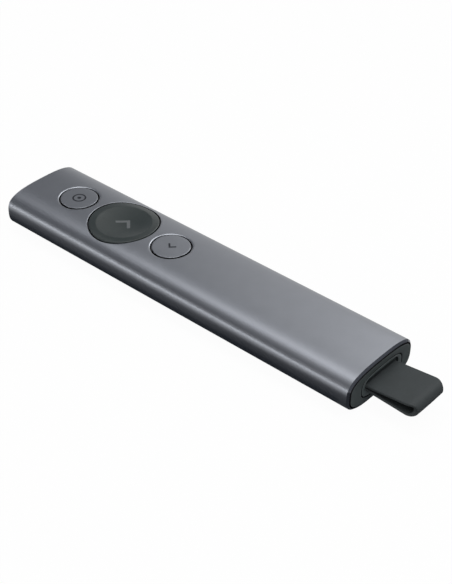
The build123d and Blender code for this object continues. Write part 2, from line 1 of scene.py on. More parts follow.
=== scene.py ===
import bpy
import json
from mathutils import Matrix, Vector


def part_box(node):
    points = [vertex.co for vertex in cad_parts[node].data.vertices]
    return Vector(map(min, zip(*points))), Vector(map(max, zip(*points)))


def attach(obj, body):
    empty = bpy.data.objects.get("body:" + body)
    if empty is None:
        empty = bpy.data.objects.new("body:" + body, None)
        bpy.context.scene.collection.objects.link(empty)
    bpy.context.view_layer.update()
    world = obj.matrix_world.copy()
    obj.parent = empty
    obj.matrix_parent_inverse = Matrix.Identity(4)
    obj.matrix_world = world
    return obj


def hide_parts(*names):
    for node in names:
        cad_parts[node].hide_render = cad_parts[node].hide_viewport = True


bl_info = {
    "name": "Wireless Presenter",
    "version": (1, 0, 0),
    "blender": (4, 5, 0),
    "location": "View3D > Sidebar > Presenter",
    "description": "Dresses a wireless presenter's solids with its visible pieces and finishes",
    "category": "Add Mesh",
}

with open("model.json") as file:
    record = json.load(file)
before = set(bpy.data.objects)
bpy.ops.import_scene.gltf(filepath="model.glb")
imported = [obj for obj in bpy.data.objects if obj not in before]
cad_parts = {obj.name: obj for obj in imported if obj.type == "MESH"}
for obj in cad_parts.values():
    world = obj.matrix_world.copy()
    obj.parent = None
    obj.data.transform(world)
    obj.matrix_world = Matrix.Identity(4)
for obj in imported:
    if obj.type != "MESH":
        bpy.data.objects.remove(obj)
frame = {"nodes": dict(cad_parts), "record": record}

import json
import math

import bmesh
import bpy
from bpy.props import FloatProperty, FloatVectorProperty, IntProperty, PointerProperty
from bpy.types import Operator, Panel, PropertyGroup
from mathutils import Matrix, Vector

MM = 0.001
WELD = 0.001 * MM                   # closer than this, two points are one
NEAR = 10 * WELD                    # closer than this, a point lies on a plane or a curve
CREASE = 1.0                        # radians, from which an edge gets rounded
# The third place is a black material painted as shade into the gaps, the hole walls and the
# sleeve's inside.
SKIN, EDGE, PAINTED_SHADE, LIP = range(4)    # places of the materials on the sleeve and the metal caps

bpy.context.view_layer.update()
SLEEVE_LOW, SLEEVE_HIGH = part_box("sleeve")
FLANGE_LOW, FLANGE_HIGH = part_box("receiver_body")
NEXT_LOW, NEXT_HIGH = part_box("next_cap")
POINTER_LOW, POINTER_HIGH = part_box("pointer_cap")
BACK_LOW, BACK_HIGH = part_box("back_cap")
TAB_LOW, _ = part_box("receiver_tab")
BACK_PLACE = (BACK_LOW.y + BACK_HIGH.y) / 2
NEXT_PLACE = (NEXT_LOW.y + NEXT_HIGH.y) / 2
POINTER_PLACE = (POINTER_LOW.y + POINTER_HIGH.y) / 2
AXIS = (FLANGE_LOW.z + FLANGE_HIGH.z) / 2       # height of the receiver's axis

CAP_CLEARANCE = 0.12 * MM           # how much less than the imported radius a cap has
PATCH_MARGIN = 0.85 * MM            # flat patch of the crown beyond the large hole
PATCH_ROW = 0.9 * MM                # length of a row of that patch's faces
HOLE_RINGS = 7                      # rings of faces round a key hole
BAND_SEAM = 0.1 * MM                # step from the thinned wall to the full one
LIP_TURNS = [math.radians(17 * step) for step in range(6)]     # over a hole's rounded lip
CELL_SHARE = 0.35                   # of the metal between two key holes, the large hole's part
REAR_ROWS, FRONT_ROWS = (1, 1, 24), (6, 1, 1)   # rows of faces from each rim to the keys
SKIRT_DROP = 1.6                    # a cap's skirt starts this many edge widths down
SKIRT_STEP = 0.02 * MM              # how far the skirt stands back
SOFT_EDGE = 0.22 * MM               # rounding of the large cap
DISH_RINGS = 24
DISH_BRIM = 0.07 * MM               # soft shoulder round the thumb dish
DISH_FALL = 0.006 * MM              # how far the middle of that shoulder has fallen
NEXT_MARK_ASIDE = 0.4 * MM          # how far the large cap's chevron is set aside
RIM_TURN = 0.7                      # a rim's edge lies between normals less and more along Y
SIDE_WALL = 0.3                     # a face is a side wall when its normal is less along Y
CORNER_STEPS = 12
PLATE_STEPS = 224                   # points round an end plate
FLANGE_STEPS = 200                  # points round the receiver's flange
FLANGE_LAP = 0.05 * MM              # how far the flange's back stands before the plate's
RECESS_EDGE = 0.12 * MM             # rounding of the recess's mouth
RECESS_SHADE = 0.1 * MM             # how deep in the recess its darker plastic, a painted shade, begins
RECEIVER_EDGE = 0.25 * MM           # rounding of the receiver's inner end
LIGHT_GAP = 0.08 * MM               # ring of air round the status light
TAB_SEAT = 0.1 * MM                 # how deep the tab is set into the recess's floor
TIP_MARGIN = 5 * WELD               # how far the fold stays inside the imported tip
TAB_COLUMNS = 36                    # faces across the strap
TAB_STEPS = 120                     # steps along the strap, once it is eased
FLANK_STEPS = 40                    # steps along each layer before that
FOLD_STEPS = 36                     # steps round the fold before that
FLOOR_SIZE = 6.0
FLOOR_DROP = 0.02 * MM              # how far the floor lies below the sole
FLOOR_SHARE = 0.965                 # share of plain white in the floor, the rest takes the shadow
CLOUD_SIZE = 4 * MM                 # slow drift of a finish's shade and gloss
WHITE = (1.0, 1.0, 1.0, 1.0)


# ------------ settings

def length(name, description, default):
    """A size that a user may change, in metres."""
    return FloatProperty(name=name, description=description, default=default, min=0.0,
                         precision=5, unit="LENGTH", subtype="DISTANCE")


def number(name, description, default):
    return FloatProperty(name=name, description=description, default=default)


def colour(name, description, default):
    return FloatVectorProperty(name=name, description=description, default=default, size=3,
                               min=0.0, max=1.0, subtype="COLOR")


def settings(group):
    """The scene's values of one of the presenter's groups."""
    return getattr(bpy.context.scene, "presenter_" + group)


class PRESENTER_PG_body(PropertyGroup):
    """The sleeve's section, rims and key holes."""

    waist: length("Waist height", "Height of the widest line of the section", 5.9 * MM)
    sole: length("Sole width", "Width of the flat underside", 8.0 * MM)
    crown_across: number("Crown power across", "Fullness of the crown, across", 2.87)
    crown_up: number("Crown power up", "Fullness of the crown, upwards", 3.44)
    keel_across: number("Keel power across", "Fullness of the keel, across", 2.6)
    keel_down: number("Keel power down", "Fullness of the keel, downwards", 2.5)
    wall: length("Wall", "Thickness of the sleeve's wall", 1.1 * MM)
    rim_chamfer: length("Rim chamfer", "Chamfer round both ends", 0.58 * MM)
    rim_wall: length("Rim wall", "Wall left round the end plates", 0.6 * MM)
    rim_band: length("Rim band", "How deep the wall is thinned for the end plates", 1.75 * MM)
    rear_trim: length("Rear trim", "How far the rear rim stands inside the packed one", 0.33 * MM)
    small_hole_lip: length("Small hole lip", "Rounding of the two small key holes", 0.4 * MM)
    next_hole_lip: length("Next hole lip", "Rounding of the large key hole", 0.1 * MM)
    groove: length("Groove", "Open ring round each cap", 0.42 * MM)
    across_steps: IntProperty(name="Steps across", description="Faces across the crown's patch",
                              default=56, min=8)
    side_steps: IntProperty(name="Steps round a side", default=56, min=8,
                            description="Faces from the crown's patch to the middle of the sole")


class PRESENTER_PG_keys(PropertyGroup):
    """The three key caps and their marks."""

    small_radius: length("Small cap radius", "Radius of the two metal caps",
                         (POINTER_HIGH.x - POINTER_LOW.x) / 2 - CAP_CLEARANCE)
    next_radius: length("Next cap radius", "Radius of the large cap",
                        (NEXT_HIGH.x - NEXT_LOW.x) / 2 - CAP_CLEARANCE)
    cap_edge: length("Cap edge", "Rounding of the metal caps", 0.09 * MM)
    dish_radius: length("Dish radius", "Radius of the thumb dish", 8.4 * MM)
    dish_depth: length("Dish depth", "Depth of the thumb dish", 1.0 * MM)
    mark_height: length("Mark height", "How far a mark stands on its cap", 0.012 * MM)
    next_arm: length("Next arm", "Arm of the chevron on the large cap", 3.8 * MM)
    next_stroke: length("Next stroke", "Stroke of that chevron", 1.0 * MM)
    back_arm: length("Back arm", "Arm of the chevron on the back cap", 1.95 * MM)
    back_stroke: length("Back stroke", "Stroke of that chevron", 0.56 * MM)
    ring_radius: length("Ring radius", "Middle of the pointer cap's ring", 1.88 * MM)
    ring_stroke: length("Ring stroke", "Stroke of that ring", 0.5 * MM)
    dot_radius: length("Dot radius", "Radius of the pointer cap's dot", 0.6 * MM)


class PRESENTER_PG_ends(PropertyGroup):
    """The end plates and the receiver's moulding."""

    plate_recess: length("Plate recess", "How far the plates lie inside the packed rims", 0.14 * MM)
    plate_thickness: length("Plate thickness", "Thickness of the end plates", 1.5 * MM)
    plate_inset: length("Plate inset", "From the outside of the sleeve to the plates", 1.05 * MM)
    edge: length("Edge rounding", "Soft edge of the end plates", 0.08 * MM)
    flange_edge: length("Flange edge", "Rounded edge of the receiver's flange", 0.11 * MM)
    flange_trim: length("Flange trim", "How far the flange's face stands inside the packed one",
                        0.3 * MM)
    flange_width: length("Flange width", "Width of the flange's oval", 17.3 * MM)
    flange_height: length("Flange height", "Height of the flange's oval", 6.7 * MM)
    flange_drop: length("Flange drop", "Middle of the oval below the receiver's axis", 0.43 * MM)
    flange_aside: length("Flange aside", "Middle of the oval beside the receiver's axis", 0.4 * MM)
    flange_power: number("Flange power", "Fullness of the flange's oval", 3.3)
    opening_gap: length("Opening gap", "Running gap round the flange", 0.33 * MM)
    recess_width: length("Recess width", "Width of the tab's recess", 14.5 * MM)
    recess_height: length("Recess height", "Height of the tab's recess", 3.7 * MM)
    recess_rise: length("Recess rise", "Middle of the recess above the receiver's axis", 0.35 * MM)
    recess_aside: length("Recess aside", "Middle of the recess beside the receiver's axis",
                         0.25 * MM)
    recess_corner: length("Recess corner", "Corner radius of the tab's recess", 1.7 * MM)
    recess_depth: length("Recess depth", "Depth of the tab's recess", 0.55 * MM)
    receiver_width: length("Receiver width", "Width of the body behind the flange", 15.5 * MM)
    receiver_height: length("Receiver height", "Height of the body behind the flange", 5.8 * MM)
    receiver_corner: length("Receiver corner", "Corner radius of the body", 1.6 * MM)
    light_radius: length("Status light radius", "Radius of the light in the front plate", 0.9 * MM)


class PRESENTER_PG_tab(PropertyGroup):
    """The folded silicone pull tab."""

    width: length("Tab width", "Width of the strap", 13.6 * MM)
    thickness: length("Strap thickness", "Thickness of one layer", 0.8 * MM)
    nose_radius: length("Nose radius", "Outer radius of the fold", 2.1 * MM)
    nose_filling: length("Nose filling", "How much thicker the strap is at the fold", 0.8 * MM)
    root_height: length("Root height", "Both layers where they leave the receiver", 1.75 * MM)
    root_sink: length("Root sink", "Middle of the root below the receiver's axis", 0.3 * MM)
    tip_corner: length("Tip corner", "Corner radius at the fold, seen from above", 3.4 * MM)
    bow: length("Fold bow", "How far the fold line bows out in the middle", 0.1 * MM)
    edge: length("Strap edge", "Rounding of the strap's edges", 0.24 * MM)
    ease: length("Fold ease", "Reach over which the strap eases into its fold", 1.0 * MM)


class PRESENTER_PG_finish(PropertyGroup):
    """Colours of the visible pieces."""

    anodised: colour("Anodised aluminium", "Slate grey shell and small caps", (0.170, 0.178, 0.195))
    mark: colour("Dark mark", "Etched marks on the metal caps", (0.012, 0.014, 0.018))
    soft_key: colour("Soft key", "Large rubbery cap", (0.0097, 0.0165, 0.0165))
    soft_mark: colour("Light mark", "Printed mark on the large cap", (0.085, 0.093, 0.097))
    plastic: colour("End plastic", "End plates", (0.049, 0.060, 0.060))
    moulding: colour("Receiver plastic", "The receiver's moulding", (0.064, 0.078, 0.079))
    silicone: colour("Tab silicone", "Folded pull tab", (0.0385, 0.0445, 0.0465))


class PRESENTER_PG_stage(PropertyGroup):
    """Camera and lamps; a lamp's brightness is how it looks in a mirror, where 1 is white."""

    lens: number("Lens", "Focal length on a 36 mm sensor, in millimetres", 78.69)
    overhead: number("Overhead softbox", "Brightness of the overhead softbox", 3.5)
    right: number("Right softbox", "Brightness of the softbox on the right", 3.9)
    left_strip: number("Left strip", "Brightness of the low strip on the left", 3.65)
    front: number("Front softbox", "Brightness of the softbox above the near end", 3.0)
    fill: number("Front fill", "Brightness of the lamp that only matt surfaces take", 2.0)
    matt_light: number("World on matt surfaces", "Brightness of the world for them", 0.5)


# ------------ the section

def superellipse(turn, flat, reach, rise, across_power, up_power, inset):
    """A quarter outline's point, set inwards; its turn is 0 at the waist, 90 degrees at the top."""
    across = math.cos(turn) ** (2 / across_power) if turn < math.pi / 2 else 0.0
    up = math.sin(turn) ** (2 / up_power)
    span = reach - flat
    normal = Vector((across_power / span * across ** (across_power - 1),
                     up_power / rise * up ** (up_power - 1))).normalized()
    return Vector((flat + span * across, rise * up)) - inset * normal


def quarter_points(flat, reach, rise, across_power, up_power, inset, steps=720):
    return [superellipse(math.pi / 2 * step / steps, flat, reach, rise, across_power, up_power,
                         inset) for step in range(steps + 1)]


def crown_points(inset):
    """The crown's right half from the waist to the middle line, as x and height."""
    body = settings("body")
    points = quarter_points(0.0, SLEEVE_HIGH.x, SLEEVE_HIGH.z - body.waist, body.crown_across,
                            body.crown_up, inset)
    return [Vector((point.x, body.waist + point.y)) for point in points]


def keel_points(inset):
    """The keel's right half from the waist to the edge of the sole, as x and height."""
    body = settings("body")
    points = quarter_points(body.sole / 2, SLEEVE_HIGH.x, body.waist, body.keel_across,
                            body.keel_down, inset)
    return [Vector((point.x, body.waist - point.y)) for point in points]


def height_over(points, x):
    """Height of a crown's points at x."""
    x = abs(x)
    low, high = 0, len(points) - 1
    while high - low > 1:
        middle = (low + high) // 2
        if points[middle].x > x:
            low = middle
        else:
            high = middle
    outer, inner = points[low], points[high]
    share = (outer.x - x) / (outer.x - inner.x)
    return outer.y + share * (inner.y - outer.y)


def spaced(points, count, bend=0.35):
    """A path's points at even steps of its length and, by a share of bend, of its turning."""
    lengths, turns = [0.0], [0.0]
    for index in range(1, len(points)):
        step = points[index] - points[index - 1]
        lengths.append(lengths[-1] + step.length)
        turn = 0.0
        if index > 1 and step.length > 0:
            before = points[index - 1] - points[index - 2]
            turn = before.angle(step, 0.0) if before.length > 0 else 0.0
        turns.append(turns[-1] + turn)
    total_turn = turns[-1] or 1.0
    marks = [(1 - bend) * along / lengths[-1] + bend * turned / total_turn
             for along, turned in zip(lengths, turns)]
    result, index = [], 0
    for step in range(count + 1):
        target = marks[-1] * step / count
        while index < len(marks) - 2 and marks[index + 1] < target:
            index += 1
        span = marks[index + 1] - marks[index]
        share = min(max((target - marks[index]) / span, 0.0), 1.0) if span > 0 else 0.0
        result.append(points[index].lerp(points[index + 1], share))
    return result


def mirrored(points):
    """A path on the other side of the middle line."""
    return [Vector((-point.x, point.y)) for point in points]


def side_path(inset, start_x, count):
    """From the crown at start_x round the right side to the middle of the sole."""
    crown = crown_points(inset)
    first = Vector((start_x, height_over(crown, start_x)))
    down = [point for point in reversed(crown) if point.x > start_x and point.y < first.y]
    keel = keel_points(inset)
    return spaced([first] + down + keel[1:] + [Vector((0.0, keel[-1].y))], count, bend=0.5)


def closed_section(inset, count):
    """The whole outline, set inwards, anticlockwise from the waist, in count steps."""
    crown, keel = crown_points(inset), keel_points(inset)
    under = mirrored(keel[1:]) + list(reversed(keel))
    return spaced(crown + mirrored(reversed(crown[:-1])) + under, count)[:-1]


def closed_oval(half_width, half_height, power, count):
    """A superelliptic oval about the origin, anticlockwise from +x, in count steps."""
    quarter = quarter_points(0.0, half_width, half_height, power, power, 0.0, steps=200)
    top = quarter + mirrored(reversed(quarter[:-1]))
    under = [Vector((point.x, -point.y)) for point in reversed(top[:-1])]
    return spaced(top + under, count)[:-1]


def closed_rectangle(half_width, half_height, corner, count):
    """A rectangle with round corners about the origin, anticlockwise from +x, in count steps."""
    points = [Vector((half_width, 0.0))]
    for quarter in range(4):
        side_x = half_width - corner if quarter in (0, 3) else corner - half_width
        side_y = half_height - corner if quarter in (0, 1) else corner - half_height
        for step in range(CORNER_STEPS + 1):
            turn = math.pi / 2 * (quarter + step / CORNER_STEPS)
            points.append(Vector((side_x + corner * math.cos(turn),
                                  side_y + corner * math.sin(turn))))
    points.append(Vector((half_width, 0.0)))
    return spaced(points, count)[:-1]


# ------------ mesh tools

def finish_piece(name, bm, body, materials, sharp=50.0, replaced=()):
    """Turns a bmesh into a piece at the origin, smooth up to an angle, riding on a CAD body."""
    mesh = bpy.data.meshes.new(name)
    for face in bm.faces:
        face.smooth = True
    for edge in bm.edges:
        turned = len(edge.link_faces) == 2 and edge.calc_face_angle(0.0) > math.radians(sharp)
        edge.smooth = not turned
    bm.to_mesh(mesh)
    bm.free()
    piece = bpy.data.objects.new(name, mesh)
    bpy.context.scene.collection.objects.link(piece)
    for material in materials:
        mesh.materials.append(material)
    weighted = piece.modifiers.new("Weighted normals", "WEIGHTED_NORMAL")
    weighted.keep_sharp = True
    weighted.weight = 60
    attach(piece, body)
    if replaced:
        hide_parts(*replaced)


def boundary_loop(bm, test):
    """The open edges whose two ends pass a test."""
    return [edge for edge in bm.edges
            if len(edge.link_faces) < 2 and all(test(vertex.co) for vertex in edge.verts)]


def creases(bm, test):
    """The sharply turned edges whose two ends pass a test."""
    return [edge for edge in bm.edges
            if len(edge.link_faces) == 2 and edge.calc_face_angle(0.0) > CREASE
            and all(test(vertex.co) for vertex in edge.verts)]


def bevel(bm, edges, width, segments=3):
    return bmesh.ops.bevel(bm, geom=edges, offset=width, offset_type="OFFSET", segments=segments,
                           profile=0.5, affect="EDGES", material=-1, clamp_overlap=True)


def upright_loop(bm, points, y, height=0.0):
    """A closed loop of edges on the upright plane at y, its points about the given height."""
    ring = bmesh.ops.create_circle(bm, cap_ends=False, radius=1.0, segments=len(points))["verts"]
    for vertex, point in zip(ring, points):
        vertex.co = Vector((point.x, y, height + point.y))
    ring = set(ring)
    return [edge for edge in bm.edges if ring.issuperset(edge.verts)]


def extruded(bm, edges):
    """Extrudes open edges in place and gives the new vertices, far edges and faces."""
    made = bmesh.ops.extrude_edge_only(bm, edges=edges)["geom"]
    vertices = [item for item in made if isinstance(item, bmesh.types.BMVert)]
    faces = [item for item in made if isinstance(item, bmesh.types.BMFace)]
    new = set(vertices)
    return vertices, [item for item in made if isinstance(item, bmesh.types.BMEdge)
                      and new.issuperset(item.verts)], faces


def extrude_loop(bm, edges, move):
    """Extrudes open edges by a move and gives the new edges."""
    vertices, far_edges, _ = extruded(bm, edges)
    bmesh.ops.translate(bm, vec=move, verts=vertices)
    return far_edges


def spun(profile, steps=128):
    """A bmesh of a profile of (radius, height) points spun round the Z axis."""
    bm = bmesh.new()
    vertices = [bm.verts.new((radius, 0.0, height)) for radius, height in profile]
    edges = [bm.edges.new(pair) for pair in zip(vertices, vertices[1:])]
    bmesh.ops.spin(bm, geom=vertices + edges, cent=(0, 0, 0), axis=(0, 0, 1), dvec=(0, 0, 0),
                   angle=2 * math.pi, steps=steps, use_merge=True, use_duplicate=False)
    bmesh.ops.remove_doubles(bm, verts=bm.verts, dist=WELD)
    bmesh.ops.recalc_face_normals(bm, faces=bm.faces)
    return bm


def follow_crown(bm, y):
    """Moves a shape along Y and lowers it with the crown's fall away from the middle line."""
    crown = crown_points(0.0)
    for vertex in bm.verts:
        vertex.co.z += height_over(crown, vertex.co.x) - SLEEVE_HIGH.z
        vertex.co.y += y


# ------------ finishes

def set_sockets(node, sockets):
    """Sets a node's inputs by their names, in which underscores stand for spaces."""
    for socket, value in sockets.items():
        node.inputs[socket.replace("_", " ")].default_value = value


def add_node(tree, kind, **sockets):
    node = tree.nodes.new(kind)
    set_sockets(node, sockets)
    return node


def new_material(name, base, roughness, metallic=0.0, **sockets):
    material = bpy.data.materials.new(name)
    material.use_nodes = True
    set_sockets(material.node_tree.nodes["Principled BSDF"],
                dict(sockets, Base_Color=(*base, 1.0), Roughness=roughness, Metallic=metallic))
    return material


def feed_shader(material, output, socket):
    shader = material.node_tree.nodes["Principled BSDF"]
    material.node_tree.links.new(output, shader.inputs[socket])


def object_pattern(material, kind, size, stretch=1.0, **sockets):
    """A texture over the piece's own coordinates, its features about size across."""
    tree = material.node_tree
    coordinates = add_node(tree, "ShaderNodeTexCoord")
    mapping = add_node(tree, "ShaderNodeMapping", Scale=(1.0, 1.0 / stretch, 1.0))
    texture = add_node(tree, kind, Scale=1.0 / size, **sockets)
    tree.links.new(coordinates.outputs["Object"], mapping.inputs["Vector"])
    tree.links.new(mapping.outputs["Vector"], texture.inputs["Vector"])
    return texture


def object_noise(material, size, detail=2.0, roughness=0.5, stretch=1.0):
    """A noise whose features are about size across, stretched along Y."""
    texture = object_pattern(material, "ShaderNodeTexNoise", size, stretch, Detail=detail,
                             Roughness=roughness)
    return texture.outputs["Fac"]


def object_cells(material, size):
    """Cells about size across: 0 in their middles, rising to their edges."""
    return object_pattern(material, "ShaderNodeTexVoronoi", size).outputs["Distance"]


def object_runs(material, size):
    """Thin straight runs between staggered fields about size across: 1 on the runs."""
    texture = object_pattern(material, "ShaderNodeTexBrick", size, Mortar_Size=0.016,
                             Mortar_Smooth=0.2)
    return texture.outputs["Fac"]


def scaled(shade, factor):
    return tuple(channel * factor for channel in shade)


def shade_between(material, pattern, base, dark, light, low=0.35, high=0.65):
    """Base colour that drifts between two factors of a shade."""
    ramp = add_node(material.node_tree, "ShaderNodeValToRGB")
    for stop, place, factor in zip(ramp.color_ramp.elements, (low, high), (dark, light)):
        stop.position = place
        stop.color = (*scaled(base, factor), 1.0)
    material.node_tree.links.new(pattern, ramp.inputs["Fac"])
    feed_shader(material, ramp.outputs["Color"], "Base Color")


def roughness_between(material, pattern, low, high):
    spread = add_node(material.node_tree, "ShaderNodeMapRange", From_Min=0.3, From_Max=0.7,
                      To_Min=low, To_Max=high)
    material.node_tree.links.new(pattern, spread.inputs["Value"])
    feed_shader(material, spread.outputs["Result"], "Roughness")


def bump_from(material, pattern, depth):
    bump = add_node(material.node_tree, "ShaderNodeBump", Strength=1.0, Distance=depth)
    material.node_tree.links.new(pattern, bump.inputs["Height"])
    feed_shader(material, bump.outputs["Normal"], "Normal")


def textured_material(name, base, roughness, grain, depth, drift=0.08, roughness_drift=0.04,
                      **sockets):
    """A fine moulded or blasted grain, with a slow drift of shade and gloss."""
    material = new_material(name, base, roughness, **sockets)
    clouds = object_noise(material, CLOUD_SIZE, detail=3.0)
    shade_between(material, clouds, base, 1 - drift, 1 + drift)
    roughness_between(material, clouds, roughness - roughness_drift, roughness + roughness_drift)
    bump_from(material, object_noise(material, grain, detail=2.0, roughness=0.6), depth)
    return material


def anodised_material(name, base):
    """Bead-blasted, anodised aluminium."""
    return textured_material(name, base, 0.385, 0.16 * MM, 0.003 * MM, drift=0.012,
                             roughness_drift=0.005, metallic=1.0)


def polished_material(name, base, roughness=0.2):
    """The same aluminium where an edge was cut after blasting: smoother, with fine marks."""
    return textured_material(name, base, roughness, 0.05 * MM, 0.0004 * MM, drift=0.02,
                             roughness_drift=0.02, metallic=1.0)


def plastic_material(name, base, roughness=0.5, **sockets):
    """Dark moulded plastic with an eroded grain."""
    return textured_material(name, base, roughness, 0.12 * MM, 0.006 * MM, drift=0.05, **sockets)


def shadowed_material(name):
    """Black matt material painted on gap walls and hidden insides as painted shade, which keeps the
    gaps dark.
    """
    return textured_material(name, (0.008, 0.008, 0.009), 0.8, 0.2 * MM, 0.004 * MM, drift=0.1,
                             Specular_IOR_Level=0.1)


def mark_material(name, base, roughness, specular, depth):
    """An etched or printed mark, with a fine tooth."""
    material = new_material(name, base, roughness, Specular_IOR_Level=specular)
    bump_from(material, object_noise(material, 0.08 * MM), depth)
    return material


def brushed_material(name, base, roughness, grain, depth):
    """Rolled, drawn or plated metal: a grain stretched along the piece, in shade and in gloss."""
    material = new_material(name, base, roughness, metallic=1.0)
    lines = object_noise(material, grain, detail=3.0, stretch=16.0)
    shade_between(material, lines, base, 0.88, 1.08)
    roughness_between(material, lines, roughness - 0.05, roughness + 0.08)
    bump_from(material, lines, depth)
    return material


def crinkled_material(name, base, roughness, grain, depth):
    """Foil pressed round a cell: flat facets with creases between them."""
    material = new_material(name, base, roughness, metallic=1.0)
    shade_between(material, object_noise(material, 4 * grain), base, 0.9, 1.05)
    roughness_between(material, object_noise(material, grain), roughness - 0.06, roughness + 0.1)
    bump_from(material, object_cells(material, grain), depth)
    return material


def porous_material(name, base, roughness, grain, depth):
    """Open foam: pores painted darker as painted shade, between paler walls."""
    material = new_material(name, base, roughness, Specular_IOR_Level=0.15)
    pores = object_cells(material, grain)
    # Darker towards each cell's middle: painted shade in the pores.
    shade_between(material, pores, base, 0.35, 1.25, low=0.2, high=0.7)
    bump_from(material, pores, depth)
    return material


def speckled_material(name, base, roughness, grain, depth):
    """Fired or sintered powder: fine specks, lighter and darker."""
    material = new_material(name, base, roughness)
    specks = object_noise(material, grain, detail=4.0, roughness=0.8)
    shade_between(material, specks, base, 0.72, 1.12, low=0.42, high=0.58)
    bump_from(material, specks, depth)
    return material


def laminate_material(name, base, roughness, grain, depth):
    """Circuit board: lacquer that stands a little over the copper runs below it."""
    material = new_material(name, base, roughness, Coat_Weight=0.4)
    runs = object_runs(material, grain)
    shade_between(material, runs, base, 1.0, 2.2, low=0.1, high=0.7)
    clouds = object_noise(material, 0.3 * grain)
    roughness_between(material, clouds, roughness - 0.05, roughness + 0.05)
    bump_from(material, runs, depth)
    return material


def clear_material(name, base, roughness, grain, depth):
    """Clear moulding with a little flow haze."""
    return textured_material(name, base, roughness, grain, depth, drift=0.03,
                             roughness_drift=0.02, Transmission_Weight=0.85)


# Each slot's kind of finish, its roughness, and its grain and depth in millimetres.
INNER_FINISHES = {
    "anodised_shell": (brushed_material, 0.38, 0.16, 0.003),
    "anodised_keys": (brushed_material, 0.38, 0.16, 0.003),
    "end_plastic": (textured_material, 0.5, 0.12, 0.006),
    "frame_plastic": (textured_material, 0.55, 0.22, 0.008),
    "key_plastic": (textured_material, 0.4, 0.15, 0.004),
    "plunger_plastic": (textured_material, 0.32, 0.1, 0.002),
    "switch_body": (textured_material, 0.42, 0.1, 0.003),
    "insulator": (textured_material, 0.45, 0.12, 0.003),
    "connector_white": (textured_material, 0.38, 0.1, 0.002),
    "lead_red": (textured_material, 0.3, 0.3, 0.004),
    "lead_black": (textured_material, 0.34, 0.3, 0.004),
    "chip_black": (textured_material, 0.6, 0.05, 0.003),
    "adhesive": (textured_material, 0.22, 0.6, 0.012),
    "boot_rubber": (textured_material, 0.7, 0.14, 0.008),
    "soft_key": (textured_material, 0.4, 0.09, 0.002),
    "tab_silicone": (textured_material, 0.6, 0.1, 0.004),
    "board_laminate": (laminate_material, 0.32, 3.4, 0.02),
    "pouch_foil": (crinkled_material, 0.3, 2.4, 0.05),
    "foam": (porous_material, 0.85, 0.35, 0.06),
    "ceramic": (speckled_material, 0.45, 0.06, 0.002),
    "clear_acrylic": (clear_material, 0.08, 0.5, 0.002),
    "led_resin": (clear_material, 0.15, 0.3, 0.002),
    "screw_steel": (brushed_material, 0.28, 0.1, 0.002),
    "spring_steel": (brushed_material, 0.2, 0.08, 0.001),
    "plated_steel": (brushed_material, 0.24, 0.07, 0.001),
    "shield_steel": (brushed_material, 0.3, 0.12, 0.002),
    "motor_steel": (brushed_material, 0.26, 0.09, 0.002),
    "contact_gold": (brushed_material, 0.22, 0.06, 0.001),
    "weight_alloy": (brushed_material, 0.42, 0.2, 0.006),
}


# ------------ the sleeve

def flat_grid(bm, columns, rows, half_width, y_range):
    """A flat rectangle of faces between two places along Y, as its vertices and its middle."""
    middle = Vector((0.0, sum(y_range) / 2, 0.0))
    size = Matrix.Diagonal((half_width, (y_range[1] - y_range[0]) / 2, 1.0, 1.0))
    made = bmesh.ops.create_grid(bm, x_segments=columns, y_segments=rows, size=1.0,
                                 matrix=Matrix.Translation(middle) @ size)
    return made["verts"], middle


def hole_cell(bm, columns, rows, half_width, y_range, hole_radius):
    """A flat rectangle between two places along Y with a round hole in its middle."""
    vertices, middle = flat_grid(bm, columns, rows, half_width, y_range)
    border = {vertex for vertex in vertices if vertex.is_boundary}
    bmesh.ops.delete(bm, geom=[vertex for vertex in vertices if vertex not in border],
                     context="VERTS")
    circle, _, _ = extruded(bm, [edge for edge in bm.edges if edge.is_wire])
    for vertex in circle:
        vertex.co = middle + (vertex.co - middle).normalized() * hole_radius
    spokes = [edge for vertex in circle for edge in vertex.link_edges
              if edge.other_vert(vertex) in border]
    bmesh.ops.subdivide_edges(bm, edges=spokes, cuts=HOLE_RINGS, use_grid_fill=False)


def key_cells():
    """Each key's middle along Y, its hole's radius and the half length of its cell."""
    keys, body = settings("keys"), settings("body")
    small, wide = keys.small_radius + body.groove, keys.next_radius + body.groove
    reach = wide + CELL_SHARE * ((NEXT_PLACE - BACK_PLACE) - wide - small)
    return [(BACK_PLACE, small, NEXT_PLACE - reach - BACK_PLACE), (NEXT_PLACE, wide, reach),
            (POINTER_PLACE, small, POINTER_PLACE - NEXT_PLACE - reach)]


def sleeve_ends():
    """Where the sleeve's two rims stand along Y."""
    return SLEEVE_LOW.y + settings("body").rear_trim, SLEEVE_HIGH.y


def hole_lip(radius):
    """The width of the rounding at a key hole of a radius."""
    body = settings("body")
    return body.next_hole_lip if radius > settings("keys").next_radius else body.small_hole_lip


